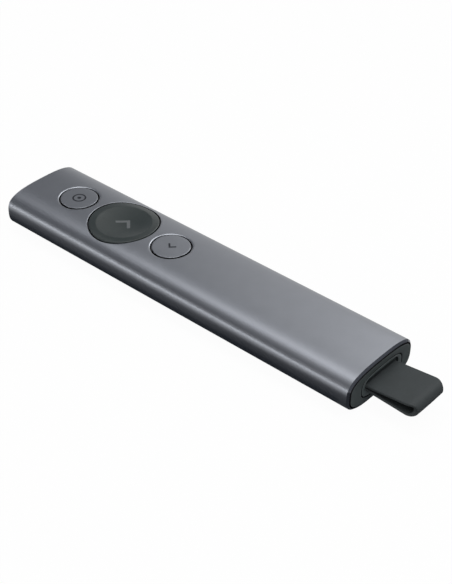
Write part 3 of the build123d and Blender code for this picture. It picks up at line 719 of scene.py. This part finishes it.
def sleeve_skin(inset, half_patch, lips):
    """The sleeve's outer skin, or its inner one set inwards, open at the ends and key holes."""
    body = settings("body")
    bm = bmesh.new()
    cells = key_cells()
    rear, front = sleeve_ends()
    for place, radius, half_length in cells:
        mouth = radius + (hole_lip(radius) if lips else 0.0)
        hole_cell(bm, body.across_steps, 2 * round(half_length / PATCH_ROW), half_patch,
                  (place - half_length, place + half_length), mouth)
    behind = (rear, rear + body.rim_band, rear + body.rim_band + BAND_SEAM,
              cells[0][0] - cells[0][2])
    ahead = (cells[2][0] + cells[2][2], front - body.rim_band - BAND_SEAM,
             front - body.rim_band, front)
    for bands, steps in ((behind, REAR_ROWS), (ahead, FRONT_ROWS)):
        for rows, y_range in zip(steps, zip(bands, bands[1:])):
            flat_grid(bm, body.across_steps, rows, half_patch, y_range)
    bmesh.ops.remove_doubles(bm, verts=bm.verts, dist=NEAR)
    crown = crown_points(inset)
    for vertex in bm.verts:
        vertex.co.z = height_over(crown, vertex.co.x)
    path = side_path(inset, half_patch, body.side_steps)
    for side in (-1, 1):
        edges = boundary_loop(bm, lambda co: abs(co.x - side * half_patch) < NEAR)
        for before, after in zip(path, path[1:]):
            edges = extrude_loop(bm, edges, (side * (after.x - before.x), 0.0,
                                             after.y - before.y))
    bmesh.ops.remove_doubles(bm, verts=bm.verts, dist=NEAR)
    bmesh.ops.recalc_face_normals(bm, faces=bm.faces)
    return bm


def turn_skin(bm, outwards):
    """Makes all faces of a skin point outwards or inwards, as the middle of the sole shows."""
    lowest = min(bm.faces, key=lambda face: face.calc_center_median().z)
    if (lowest.normal.z < 0) != outwards:
        bmesh.ops.reverse_faces(bm, faces=bm.faces)


def thin_the_ends(inner):
    """Moves the inner skin's end bands outwards, to leave the rim wall round the end plates."""
    body = settings("body")
    rear, front = sleeve_ends()
    inner.normal_update()
    for vertex in inner.verts:
        if not rear + body.rim_band + NEAR <= vertex.co.y <= front - body.rim_band - NEAR:
            inwards = Vector((vertex.normal.x, 0.0, vertex.normal.z)).normalized()
            vertex.co -= (body.wall - body.rim_wall) * inwards


def cut_lips(bm):
    """Rounds each key hole of the outer skin over, from the crown inwards and down."""
    for place, radius, _ in key_cells():
        width = hole_lip(radius)
        bend = width / math.sin(LIP_TURNS[-1])
        middle = Vector((0.0, place))
        mouth = radius + width
        ring = boundary_loop(bm, lambda co: abs((co.xy - middle).length - mouth) < 2 * NEAR)
        for before, turn in zip(LIP_TURNS, LIP_TURNS[1:]):
            vertices, ring, faces = extruded(bm, ring)
            for vertex in vertices:
                outwards = (vertex.co.xy - middle).normalized()
                plan = middle + outwards * (mouth - bend * math.sin(turn))
                fall = bend * (math.cos(before) - math.cos(turn))
                vertex.co = Vector((plan.x, plan.y, vertex.co.z - fall))
            for face in faces:
                face.material_index = LIP


def is_outer_rim(edge, end):
    """Whether an edge is the sleeve's outer corner at one end."""
    if len(edge.link_faces) < 2 or any(abs(vertex.co.y - end) > NEAR for vertex in edge.verts):
        return False
    side, cut = sorted(edge.link_faces, key=lambda face: abs(face.normal.y))
    centre = side.calc_center_median()
    outwards = Vector((centre.x, 0.0, centre.z - settings("body").waist))
    return abs(side.normal.y) < RIM_TURN < abs(cut.normal.y) and side.normal.dot(outwards) > 0


def make_sleeve(materials):
    """The sleeve; its materials are the blasted skin, polished rims, a black inside and hole walls
    as painted shade, and lips.
    """
    body = settings("body")
    half_patch = settings("keys").next_radius + body.groove + PATCH_MARGIN
    bm = sleeve_skin(0.0, half_patch, lips=True)
    cut_lips(bm)
    bmesh.ops.recalc_face_normals(bm, faces=bm.faces)
    turn_skin(bm, outwards=True)
    inner = sleeve_skin(body.wall, half_patch, lips=False)
    turn_skin(inner, outwards=False)
    thin_the_ends(inner)
    # The whole inner skin is painted black as painted shade.
    for face in inner.faces:
        face.material_index = PAINTED_SHADE
    spare = bpy.data.meshes.new("inner skin")
    inner.to_mesh(spare)
    inner.free()
    bm.from_mesh(spare)
    bpy.data.meshes.remove(spare)

    for end in sleeve_ends():
        bmesh.ops.bridge_loops(bm, edges=boundary_loop(bm, lambda co: abs(co.y - end) < NEAR))
    for place, radius, _ in key_cells():
        middle = Vector((0.0, place))
        hole = boundary_loop(bm, lambda co: abs((co.xy - middle).length - radius) < 2 * NEAR)
        # Each hole's wall is painted black: painted shade in the groove round its cap.
        for face in bmesh.ops.bridge_loops(bm, edges=hole)["faces"]:
            face.material_index = PAINTED_SHADE
    for end in sleeve_ends():
        rim = [edge for edge in bm.edges if is_outer_rim(edge, end)]
        for face in bevel(bm, rim, body.rim_chamfer, segments=1)["faces"]:
            face.material_index = EDGE
    finish_piece("sleeve_shell", bm, "presenter", materials, sharp=35,
                 replaced=("sleeve",))


# ------------ caps and marks

def disc_profile(radius, thickness, edge, rings=14, segments=3):
    """Half the outline of a disc with a rounded upper edge, its top at height 0."""
    flat = radius - edge
    profile = [(flat * ring / rings, 0.0) for ring in range(rings + 1)]
    for step in range(1, segments + 1):
        turn = math.pi / 2 * step / segments
        profile.append((flat + edge * math.sin(turn), edge * (math.cos(turn) - 1)))
    skirt = -SKIRT_DROP * edge
    return profile + [(radius, skirt), (radius - SKIRT_STEP, skirt - SKIRT_STEP),
                      (radius - SKIRT_STEP, -thickness), (0.0, -thickness)]


def make_metal_cap(name, low, high, materials):
    """A small cap; its materials are the blasted face, its polished edge and the skirt painted
    black as painted shade in its groove.
    """
    keys = settings("keys")
    bm = spun(disc_profile(keys.small_radius, high.z - low.z, keys.cap_edge))
    for face in bm.faces:
        centre = face.calc_center_median()
        # Below the skirt's start the cap's side is painted black: painted shade in the groove.
        if centre.z < -SKIRT_DROP * keys.cap_edge:
            face.material_index = PAINTED_SHADE
        elif centre.xy.length > keys.small_radius - keys.cap_edge:
            face.material_index = EDGE
    bmesh.ops.translate(bm, vec=(0, 0, high.z - keys.mark_height), verts=bm.verts)
    follow_crown(bm, (low.y + high.y) / 2)
    finish_piece(name + "_cap_metal", bm, name + "_button", materials,
                 replaced=(name + "_cap",))


def dish_height(co):
    """Height of the large cap's top over a point, from the crown."""
    keys = settings("keys")
    return -keys.dish_depth * max(1 - (co.xy.length / keys.dish_radius) ** 2, 0.0)


def make_soft_cap(material):
    """The large cap: a dish with a soft shoulder in a flat ring with a round edge."""
    keys = settings("keys")
    radii = [keys.dish_radius * ring / DISH_RINGS for ring in range(DISH_RINGS)]
    radii.append(keys.dish_radius - DISH_BRIM)
    dish = [(radius, dish_height(Vector((radius, 0.0, 0.0)))) for radius in radii]
    dish += [(keys.dish_radius, -DISH_FALL), (keys.dish_radius + DISH_BRIM, 0.0)]
    disc = disc_profile(keys.next_radius, NEXT_HIGH.z - NEXT_LOW.z, SOFT_EDGE, rings=28,
                        segments=4)
    ring = [(radius, height) for radius, height in disc
            if radius > keys.dish_radius + 2 * DISH_BRIM or height < -SOFT_EDGE]
    bm = spun(dish + ring, steps=160)
    bmesh.ops.translate(bm, vec=(0, 0, NEXT_HIGH.z), verts=bm.verts)
    follow_crown(bm, NEXT_PLACE)
    finish_piece("next_cap_soft", bm, "next_button", [material], sharp=60,
                 replaced=("next_cap",))


def chevron(arm, stroke, points_to):
    """A flat chevron with square arm ends, its tip towards +X or -X."""
    bm = bmesh.new()
    made = bmesh.ops.create_grid(bm, x_segments=24, y_segments=2, size=1.0)
    half = stroke / 2
    slope = math.sqrt(0.5)
    for vertex in made["verts"]:
        along, out = vertex.co.x, vertex.co.y
        reach = abs(along) * arm * slope
        mitre = out * half * (1 - abs(along)) * math.sqrt(2)
        square = out * half * abs(along) * slope
        y = math.copysign(reach + square, along) if along else 0.0
        vertex.co = Vector((points_to * (mitre + square - reach), y, 0.0))
    centre = sum((vertex.co.x for vertex in bm.verts), 0.0) / len(bm.verts)
    bmesh.ops.translate(bm, vec=(-centre, 0, 0), verts=bm.verts)
    return bm


def ring_and_dot(radius, stroke, dot):
    """A flat ring with a dot in its middle."""
    bm = bmesh.new()
    for edge_radius in (radius - stroke / 2, radius + stroke / 2):
        bmesh.ops.create_circle(bm, cap_ends=False, segments=72, radius=edge_radius)
    bmesh.ops.bridge_loops(bm, edges=bm.edges[:])
    bmesh.ops.create_circle(bm, cap_ends=True, segments=40, radius=dot)
    return bm


def raise_mark(bm, key, place, material, base_height, aside=0.0):
    """Lays a flat mark on its cap, set aside along X, and gives it its thickness."""
    height = settings("keys").mark_height
    bmesh.ops.translate(bm, vec=(aside, 0, 0), verts=bm.verts)
    bmesh.ops.recalc_face_normals(bm, faces=bm.faces)
    if sum(face.normal.z for face in bm.faces) < 0:
        bmesh.ops.reverse_faces(bm, faces=bm.faces)
    for vertex in bm.verts:
        vertex.co.z = base_height(vertex.co) + height
    walls = bmesh.ops.extrude_face_region(bm, geom=list(bm.faces))
    lowered = [item for item in walls["geom"] if isinstance(item, bmesh.types.BMVert)]
    bmesh.ops.translate(bm, vec=(0, 0, -2 * height), verts=lowered)
    bmesh.ops.recalc_face_normals(bm, faces=bm.faces)
    follow_crown(bm, place)
    finish_piece(key + "_mark", bm, key + "_button", [material], sharp=30)


# ------------ ends and receiver

def make_end_plate(name, front, back, materials, opening, height, replaced):
    """A plate with an opening; its materials are its face and its side walls painted black as
    painted shade in the gaps.
    """
    ends = settings("ends")
    bm = bmesh.new()
    outer = upright_loop(bm, closed_section(ends.plate_inset, PLATE_STEPS), front)
    bmesh.ops.bridge_loops(bm, edges=outer + upright_loop(bm, opening, front, height))
    extrude_loop(bm, boundary_loop(bm, lambda co: True), (0.0, back - front, 0.0))
    bmesh.ops.bridge_loops(bm, edges=boundary_loop(bm, lambda co: abs(co.y - back) < WELD))
    bmesh.ops.recalc_face_normals(bm, faces=bm.faces)
    bevel(bm, creases(bm, lambda co: abs(co.y - front) < WELD), ends.edge)
    bm.normal_update()
    # The side walls are painted black: painted shade in the gaps round the plate.
    for face in bm.faces:
        if abs(face.normal.y) < SIDE_WALL:
            face.material_index = 1
    finish_piece(name, bm, "presenter", materials, replaced=(replaced,))


def flange_outline(margin, count):
    """The oval of the receiver's flange, grown by a margin, about the receiver's axis."""
    ends = settings("ends")
    shift = Vector((ends.flange_aside, -ends.flange_drop))
    oval = closed_oval(ends.flange_width / 2 + margin, ends.flange_height / 2 + margin,
                       ends.flange_power, count)
    return [point + shift for point in oval]


def make_receiver_body(materials):
    """The receiver's moulding; its recess and the flange's side walls have the second material, a
    darker plastic as painted shade.
    """
    ends = settings("ends")
    face_y = FLANGE_LOW.y + ends.flange_trim
    flange_back = SLEEVE_LOW.y + ends.plate_recess + ends.plate_thickness - FLANGE_LAP
    recess_middle = Vector((ends.recess_aside, ends.recess_rise))
    half_recess = Vector((ends.recess_width / 2, ends.recess_height / 2))
    recess = [point + recess_middle for point in
              closed_rectangle(*half_recess, ends.recess_corner, FLANGE_STEPS)]
    behind = closed_rectangle(ends.receiver_width / 2, ends.receiver_height / 2,
                              ends.receiver_corner, FLANGE_STEPS)
    bm = bmesh.new()
    outer = upright_loop(bm, flange_outline(0.0, FLANGE_STEPS), face_y, AXIS)
    mouth = upright_loop(bm, recess, face_y, AXIS)
    bmesh.ops.bridge_loops(bm, edges=outer + mouth)
    bmesh.ops.edgeloop_fill(bm, edges=extrude_loop(bm, mouth, (0.0, ends.recess_depth, 0.0)))
    skirt = extrude_loop(bm, outer, (0.0, flange_back - face_y, 0.0))
    neck = upright_loop(bm, behind, flange_back, AXIS)
    bmesh.ops.bridge_loops(bm, edges=skirt + neck)
    end = extrude_loop(bm, neck, (0.0, FLANGE_HIGH.y - flange_back, 0.0))
    bmesh.ops.edgeloop_fill(bm, edges=end)
    bmesh.ops.recalc_face_normals(bm, faces=bm.faces)

    def at_recess(co):
        return (abs(co.x - recess_middle.x) < half_recess.x + NEAR
                and abs(co.z - AXIS - recess_middle.y) < half_recess.y + NEAR)

    def on_face(co):
        return abs(co.y - face_y) < WELD

    bevel(bm, creases(bm, lambda co: on_face(co) and not at_recess(co)), ends.flange_edge, 5)
    bevel(bm, creases(bm, lambda co: on_face(co) and at_recess(co)), RECESS_EDGE)
    bevel(bm, creases(bm, lambda co: abs(co.y - FLANGE_HIGH.y) < WELD), RECEIVER_EDGE)
    # The recess and the flange's side walls take the darker plastic: painted shade in the recess
    # and the gap.
    for face in bm.faces:
        centre = face.calc_center_median()
        if at_recess(centre):
            shaded = RECESS_SHADE < centre.y - face_y < ends.recess_depth + WELD
        else:
            shaded = abs(face.normal.y) < SIDE_WALL and centre.y < flange_back
        face.material_index = int(shaded)
    finish_piece("receiver_moulding", bm, "receiver", materials,
                 replaced=("receiver_body",))


def eased(points, reach, count):
    """A path's points at even steps, each moved to the middle of its neighbourhood."""
    even = spaced(points, count, bend=0.0)
    window = round(reach / (even[1] - even[0]).length)
    result = []
    for index in range(len(even)):
        span = min(window, index, len(even) - 1 - index)
        near = even[index - span:index + span + 1]
        result.append(sum(near, Vector((0.0, 0.0))) / len(near))
    return result


def tab_path(tab, foot):
    """The strap's inner line, as y and height: along the top layer, round the nose and back."""
    nose = Vector((TAB_LOW.y + tab.nose_radius, AXIS))
    radius = tab.nose_radius - tab.thickness
    half_root = tab.root_height / 2 - tab.thickness

    def on_nose(turn):
        return nose + radius * Vector((math.cos(turn), math.sin(turn)))

    roots, turns = [], []
    for sign in (1, -1):
        roots.append(Vector((foot, AXIS - tab.root_sink + sign * half_root)))
        reach = roots[-1] - nose
        turns.append(math.atan2(reach.y, reach.x) + sign * math.acos(radius / reach.length))
    span = 2 * math.pi + turns[1] - turns[0]
    top = [roots[0].lerp(on_nose(turns[0]), step / FLANK_STEPS) for step in range(FLANK_STEPS)]
    arc = [on_nose(turns[0] + span * step / FOLD_STEPS) for step in range(FOLD_STEPS + 1)]
    back = [on_nose(turns[1]).lerp(roots[1], step / FLANK_STEPS)
            for step in range(1, FLANK_STEPS + 1)]
    path = eased(top + arc + back, tab.ease, TAB_STEPS)
    shift = TAB_LOW.y + tab.thickness + TIP_MARGIN - min(point.x for point in path)
    return [Vector((point.x + shift, point.y)) for point in path]


def make_tab(material):
    """The silicone strap, a sheet laid along its folded path, then thickened and rounded."""
    tab, ends = settings("tab"), settings("ends")
    foot = FLANGE_LOW.y + ends.flange_trim + ends.recess_depth + TAB_SEAT
    path = tab_path(tab, foot)
    tip = TAB_LOW.y
    bm = bmesh.new()
    inside = bmesh.ops.create_grid(bm, x_segments=TAB_COLUMNS, y_segments=len(path) - 1,
                                   size=1.0)["verts"]
    for vertex in inside:
        share = vertex.co.x
        point = path[round((vertex.co.y + 1) / 2 * (len(path) - 1))]
        past = max(tip + tab.tip_corner - point.x, 0.0)
        narrowed = tab.tip_corner - math.sqrt(max(tab.tip_corner ** 2 - past ** 2, 0.0))
        near_nose = min(max((foot - point.x) / (foot - tip), 0.0), 1.0) ** 3
        vertex.co = Vector((share * (tab.width / 2 - narrowed),
                            point.x + tab.bow * share * share * near_nose, point.y))
    bmesh.ops.recalc_face_normals(bm, faces=bm.faces)
    bmesh.ops.solidify(bm, geom=bm.faces[:] + bm.edges[:] + bm.verts[:], thickness=tab.thickness)
    for vertex in inside:
        depth = vertex.co.y - tip - tab.thickness
        vertex.co.y += tab.nose_filling * max(1 - depth / (2 * tab.nose_filling), 0.0)
    bmesh.ops.recalc_face_normals(bm, faces=bm.faces)
    corners = [edge for edge in creases(bm, lambda co: True)
               if not all(abs(vertex.co.y - foot) < 2 * NEAR for vertex in edge.verts)]
    bevel(bm, corners, tab.edge)
    finish_piece("pull_tab", bm, "receiver", [material], sharp=60,
                 replaced=("receiver_tab",))


# ------------ the stage

def mix_to_surface(tree, output_kind, factor, matt, direct):
    """Sends one shader to matt surfaces' rays and another to the rays that see directly."""
    mix = add_node(tree, "ShaderNodeMixShader")
    output = add_node(tree, output_kind)
    tree.links.new(factor, mix.inputs["Fac"])
    tree.links.new(matt.outputs[0], mix.inputs[1])
    tree.links.new(direct.outputs[0], mix.inputs[2])
    tree.links.new(mix.outputs["Shader"], output.inputs["Surface"])


def seen_directly(tree):
    """1 for camera, glossy and transmission rays, and 0 for the others."""
    path = add_node(tree, "ShaderNodeLightPath")
    total = path.outputs["Is Camera Ray"]
    for ray in ("Is Transmission Ray", "Is Glossy Ray"):
        add = add_node(tree, "ShaderNodeMath")
        add.operation = "ADD"
        add.use_clamp = True
        tree.links.new(total, add.inputs[0])
        tree.links.new(path.outputs[ray], add.inputs[1])
        total = add.outputs["Value"]
    return total


def make_world():
    world = bpy.data.worlds.new("Studio")
    bpy.context.scene.world = world
    world.use_nodes = True
    tree = world.node_tree
    tree.nodes.clear()
    dim = add_node(tree, "ShaderNodeBackground", Color=WHITE,
                   Strength=settings("stage").matt_light)
    white = add_node(tree, "ShaderNodeBackground", Color=WHITE, Strength=1.0)
    mix_to_surface(tree, "ShaderNodeOutputWorld", seen_directly(tree), dim, white)


def flat_object(name, size, material):
    """A flat rectangle that isn't part of the presenter."""
    bm = bmesh.new()
    bmesh.ops.create_grid(bm, x_segments=1, y_segments=1, size=0.5)
    bmesh.ops.scale(bm, vec=(*size, 1.0), verts=bm.verts)
    mesh = bpy.data.meshes.new(name)
    bm.to_mesh(mesh)
    bm.free()
    mesh.materials.append(material)
    made = bpy.data.objects.new(name, mesh)
    bpy.context.scene.collection.objects.link(made)
    return made


def make_floor():
    """A pale floor that shows white and keeps a faint shadow."""
    material = bpy.data.materials.new("pale floor")
    material.use_nodes = True
    tree = material.node_tree
    tree.nodes.clear()
    diffuse = add_node(tree, "ShaderNodeBsdfDiffuse", Color=(0.8, 0.8, 0.8, 1.0))
    white = add_node(tree, "ShaderNodeEmission")
    share = add_node(tree, "ShaderNodeMath")
    share.operation = "MULTIPLY"
    share.inputs[1].default_value = FLOOR_SHARE
    tree.links.new(seen_directly(tree), share.inputs[0])
    mix_to_surface(tree, "ShaderNodeOutputMaterial", share.outputs["Value"], diffuse, white)
    floor = flat_object("floor", (FLOOR_SIZE, FLOOR_SIZE), material)
    floor.location.z = -FLOOR_DROP


def aim(thing, place, target, roll=0.0):
    place, target = Vector(place), Vector(target)
    turned = (place - target).to_track_quat("Z", "Y").to_matrix().to_4x4()
    thing.matrix_world = Matrix.Translation(place) @ turned @ Matrix.Rotation(roll, 4, "Z")


def softbox(name, place, target, size, brightness, lights_matt=True, mirrored_too=True):
    """A soft lamp; brightness is how it looks in a mirror, where 1 is white paper."""
    lamp = bpy.data.lights.new(name, "AREA")
    lamp.shape = "RECTANGLE"
    lamp.size, lamp.size_y = size
    lamp.energy = brightness * math.pi * size[0] * size[1]
    lamp_object = bpy.data.objects.new(name, lamp)
    bpy.context.scene.collection.objects.link(lamp_object)
    aim(lamp_object, place, target)
    lamp_object.visible_camera = False
    lamp_object.visible_diffuse = lights_matt
    lamp_object.visible_glossy = mirrored_too


def card(name, place, target, size, shade):
    """A card that only reflections see, evenly lit to a shade."""
    material = new_material(name, (0.0, 0.0, 0.0), 0.5, Specular_IOR_Level=0.0,
                            Emission_Color=(*shade, 1.0), Emission_Strength=1.0)
    material.cycles.emission_sampling = "NONE"
    card_object = flat_object(name, size, material)
    aim(card_object, place, target)
    for ray in ("camera", "diffuse", "shadow", "transmission", "volume_scatter"):
        setattr(card_object, "visible_" + ray, False)


def make_lights():
    """Softboxes for the bright bands of the metal, and cards and mats for its dark ones."""
    stage = settings("stage")
    softbox("overhead softbox", (0.053, 0.105, 0.6), (0.053, 0.105, 0.0), (0.2, 0.74),
            stage.overhead)
    softbox("right softbox", (0.801, 0.0, 0.634), (0.0, 0.184, 0.0), (0.58, 0.8), stage.right,
            lights_matt=False)
    softbox("front softbox", (-0.25, -0.29, 0.57), (0.0, 0.0, 0.0), (0.6, 0.3), stage.front,
            lights_matt=False)
    softbox("front fill", (-0.05, -0.32, 0.52), (0.0, 0.0, 0.0), (0.4, 0.3), stage.fill,
            mirrored_too=False)
    softbox("left strip", (-0.7, 1.2, 0.22), (0.0, 1.2, 0.22), (2.3, 0.44), stage.left_strip,
            lights_matt=False)
    card("left flag", (-0.352, 0.195, 0.28), (0.0, 0.195, 0.0), (0.29, 0.44),
         (0.05, 0.056, 0.07))
    card("back flag", (-0.31, 0.5, 0.623), (-0.31, 0.0, 0.623), (1.55, 1.0),
         (0.28, 0.293, 0.32))
    card("front flag", (0.45, -0.2, 0.085), (0.45, 0.0, 0.085), (1.5, 0.17), (0.26, 0.27, 0.3))
    card("front glow", (0.336, -0.528, 0.5), (0.0, 0.0, 0.0), (0.55, 0.3), (1.9, 1.9, 1.9))
    for name, x, y, depth, size, shade in (
            ("front mat", -0.02, -0.096, 0.005, (0.11, 0.072), (0.1, 0.105, 0.12)),
            ("right mat", 0.18, -0.09, 0.005, (0.24, 0.09), (0.14, 0.145, 0.16)),
            ("dark mat", 0.0, 0.0, 0.01, (0.054, 0.158), (0.031, 0.038, 0.052))):
        card(name, (x, y, -depth * MM), (x, y, -0.1), size, shade)


def make_camera():
    camera = bpy.data.cameras.new("camera")
    camera.sensor_width = 36.0
    camera.sensor_height = 36.0
    camera.sensor_fit = "AUTO"
    camera.lens = settings("stage").lens
    camera.clip_start = 0.01
    camera.clip_end = 10.0
    camera_object = bpy.data.objects.new("camera", camera)
    bpy.context.scene.collection.objects.link(camera_object)
    place = Vector((-216.41, -201.82, 222.14)) * MM
    target = Vector((13.254, 0.0, -7.117)) * MM
    aim(camera_object, place, target, math.radians(0.349))
    bpy.context.scene.camera = camera_object


# ------------ operators

class PRESENTER_OT_inner(Operator):
    """Gives every carried-over inner node its finish"""

    bl_idname = "presenter.inner"
    bl_label = "Inner pieces"

    def execute(self, context):
        materials = {}
        for entry in frame["record"]["materials"]:
            slot = entry["slot"]
            finish, roughness, grain, depth = INNER_FINISHES[slot]
            materials[slot] = finish(slot.replace("_", " "), tuple(entry["base_color"][:3]),
                                     roughness, grain * MM, depth * MM)
        for part in frame["record"]["subparts"]:
            node = frame["nodes"][part["node"]]
            node.data.materials.clear()
            node.data.materials.append(materials[part["material_slot"]])
        return {"FINISHED"}


class PRESENTER_OT_sleeve(Operator):
    """Builds the anodised sleeve with its rims and key holes"""

    bl_idname = "presenter.sleeve"
    bl_label = "Sleeve"

    def execute(self, context):
        anodised = settings("finish").anodised
        make_sleeve([anodised_material("slate anodised shell", anodised),
                     polished_material("polished shell edges", anodised),
                     shadowed_material("dark sleeve lining"),
                     polished_material("satin hole lips", scaled(anodised, 1.25), 0.3)])
        return {"FINISHED"}


class PRESENTER_OT_keys(Operator):
    """Builds the three key caps and their marks"""

    bl_idname = "presenter.keys"
    bl_label = "Key caps"

    def execute(self, context):
        keys, finish = settings("keys"), settings("finish")
        metal = [anodised_material("slate anodised caps", finish.anodised),
                 polished_material("polished cap edges", finish.anodised),
                 shadowed_material("dark cap skirt")]
        make_metal_cap("pointer", POINTER_LOW, POINTER_HIGH, metal)
        make_metal_cap("back", BACK_LOW, BACK_HIGH, metal)
        make_soft_cap(textured_material("soft key rubber", finish.soft_key, 0.37, 0.09 * MM,
                                        0.0015 * MM, drift=0.05, roughness_drift=0.015,
                                        Specular_IOR_Level=0.36))
        etched = mark_material("etched mark", finish.mark, 0.6, 0.12, 0.004 * MM)
        printed = mark_material("printed mark", finish.soft_mark, 0.5, 0.35, 0.002 * MM)
        raise_mark(chevron(keys.back_arm, keys.back_stroke, -1), "back", BACK_PLACE,
                   etched, lambda co: BACK_HIGH.z - keys.mark_height)
        raise_mark(chevron(keys.next_arm, keys.next_stroke, 1), "next", NEXT_PLACE,
                   printed, lambda co: NEXT_HIGH.z + dish_height(co), NEXT_MARK_ASIDE)
        raise_mark(ring_and_dot(keys.ring_radius, keys.ring_stroke, keys.dot_radius), "pointer",
                   POINTER_PLACE, etched,
                   lambda co: POINTER_HIGH.z - keys.mark_height)
        return {"FINISHED"}


class PRESENTER_OT_ends(Operator):
    """Builds the two end plates and the receiver's moulding"""

    bl_idname = "presenter.ends"
    bl_label = "Ends and receiver"

    def execute(self, context):
        ends, finish = settings("ends"), settings("finish")
        materials = [plastic_material("textured end plastic", finish.plastic),
                     shadowed_material("dark plate walls")]
        rear, front = SLEEVE_LOW.y + ends.plate_recess, SLEEVE_HIGH.y - ends.plate_recess
        make_end_plate("rear_plate", rear, rear + ends.plate_thickness, materials,
                       flange_outline(ends.opening_gap, PLATE_STEPS), AXIS, "rear_cap")
        pipe_low, pipe_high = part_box("status_light_pipe")
        radius = ends.light_radius + LIGHT_GAP
        make_end_plate("front_plate", front, front - ends.plate_thickness, materials,
                       closed_oval(radius, radius, 2.0, PLATE_STEPS),
                       (pipe_low.z + pipe_high.z) / 2, "front_cap")
        # The second plastic is the moulding made darker as painted shade for the recess and the
        # flange's walls.
        make_receiver_body([plastic_material("textured receiver plastic", finish.moulding),
                            plastic_material("matt recess plastic", scaled(finish.moulding, 0.4),
                                             0.7, Specular_IOR_Level=0.15)])
        return {"FINISHED"}


class PRESENTER_OT_tab(Operator):
    """Builds the folded silicone pull tab"""

    bl_idname = "presenter.tab"
    bl_label = "Pull tab"

    def execute(self, context):
        make_tab(textured_material("matte silicone", settings("finish").silicone, 0.6, 0.1 * MM,
                                   0.004 * MM, drift=0.06, Specular_IOR_Level=0.12))
        return {"FINISHED"}


class PRESENTER_OT_stage(Operator):
    """Sets up the floor, the lamps, the cards and the camera"""

    bl_idname = "presenter.stage"
    bl_label = "Stage"

    def execute(self, context):
        context.scene.view_settings.view_transform = "Standard"
        make_world()
        make_floor()
        make_lights()
        make_camera()
        return {"FINISHED"}


class PRESENTER_PT_panel(Panel):
    """Lists the presenter's settings and its pieces"""

    bl_label = "Wireless presenter"
    bl_idname = "PRESENTER_PT_panel"
    bl_space_type = "VIEW_3D"
    bl_region_type = "UI"
    bl_category = "Presenter"

    def draw(self, context):
        for group in GROUPS:
            box = self.layout.box()
            for name in group.__annotations__:
                box.prop(settings(short_name(group)), name)
        for operator in OPERATORS:
            self.layout.operator(operator.bl_idname)


GROUPS = (PRESENTER_PG_body, PRESENTER_PG_keys, PRESENTER_PG_ends, PRESENTER_PG_tab,
          PRESENTER_PG_finish, PRESENTER_PG_stage)
OPERATORS = (PRESENTER_OT_inner, PRESENTER_OT_sleeve, PRESENTER_OT_keys, PRESENTER_OT_ends,
             PRESENTER_OT_tab, PRESENTER_OT_stage)


def short_name(group):
    """A property group's name without its prefix."""
    return group.__name__.rpartition("_")[2]


def register():
    for item in GROUPS + OPERATORS + (PRESENTER_PT_panel,):
        bpy.utils.register_class(item)
    for group in GROUPS:
        setattr(bpy.types.Scene, "presenter_" + short_name(group), PointerProperty(type=group))


def unregister():
    for group in GROUPS:
        delattr(bpy.types.Scene, "presenter_" + short_name(group))
    for item in reversed(GROUPS + OPERATORS + (PRESENTER_PT_panel,)):
        bpy.utils.unregister_class(item)


def main():
    register()
    for operator in OPERATORS:
        getattr(bpy.ops.presenter, operator.bl_idname.split(".")[1])()


if __name__ == "__main__":
    main()
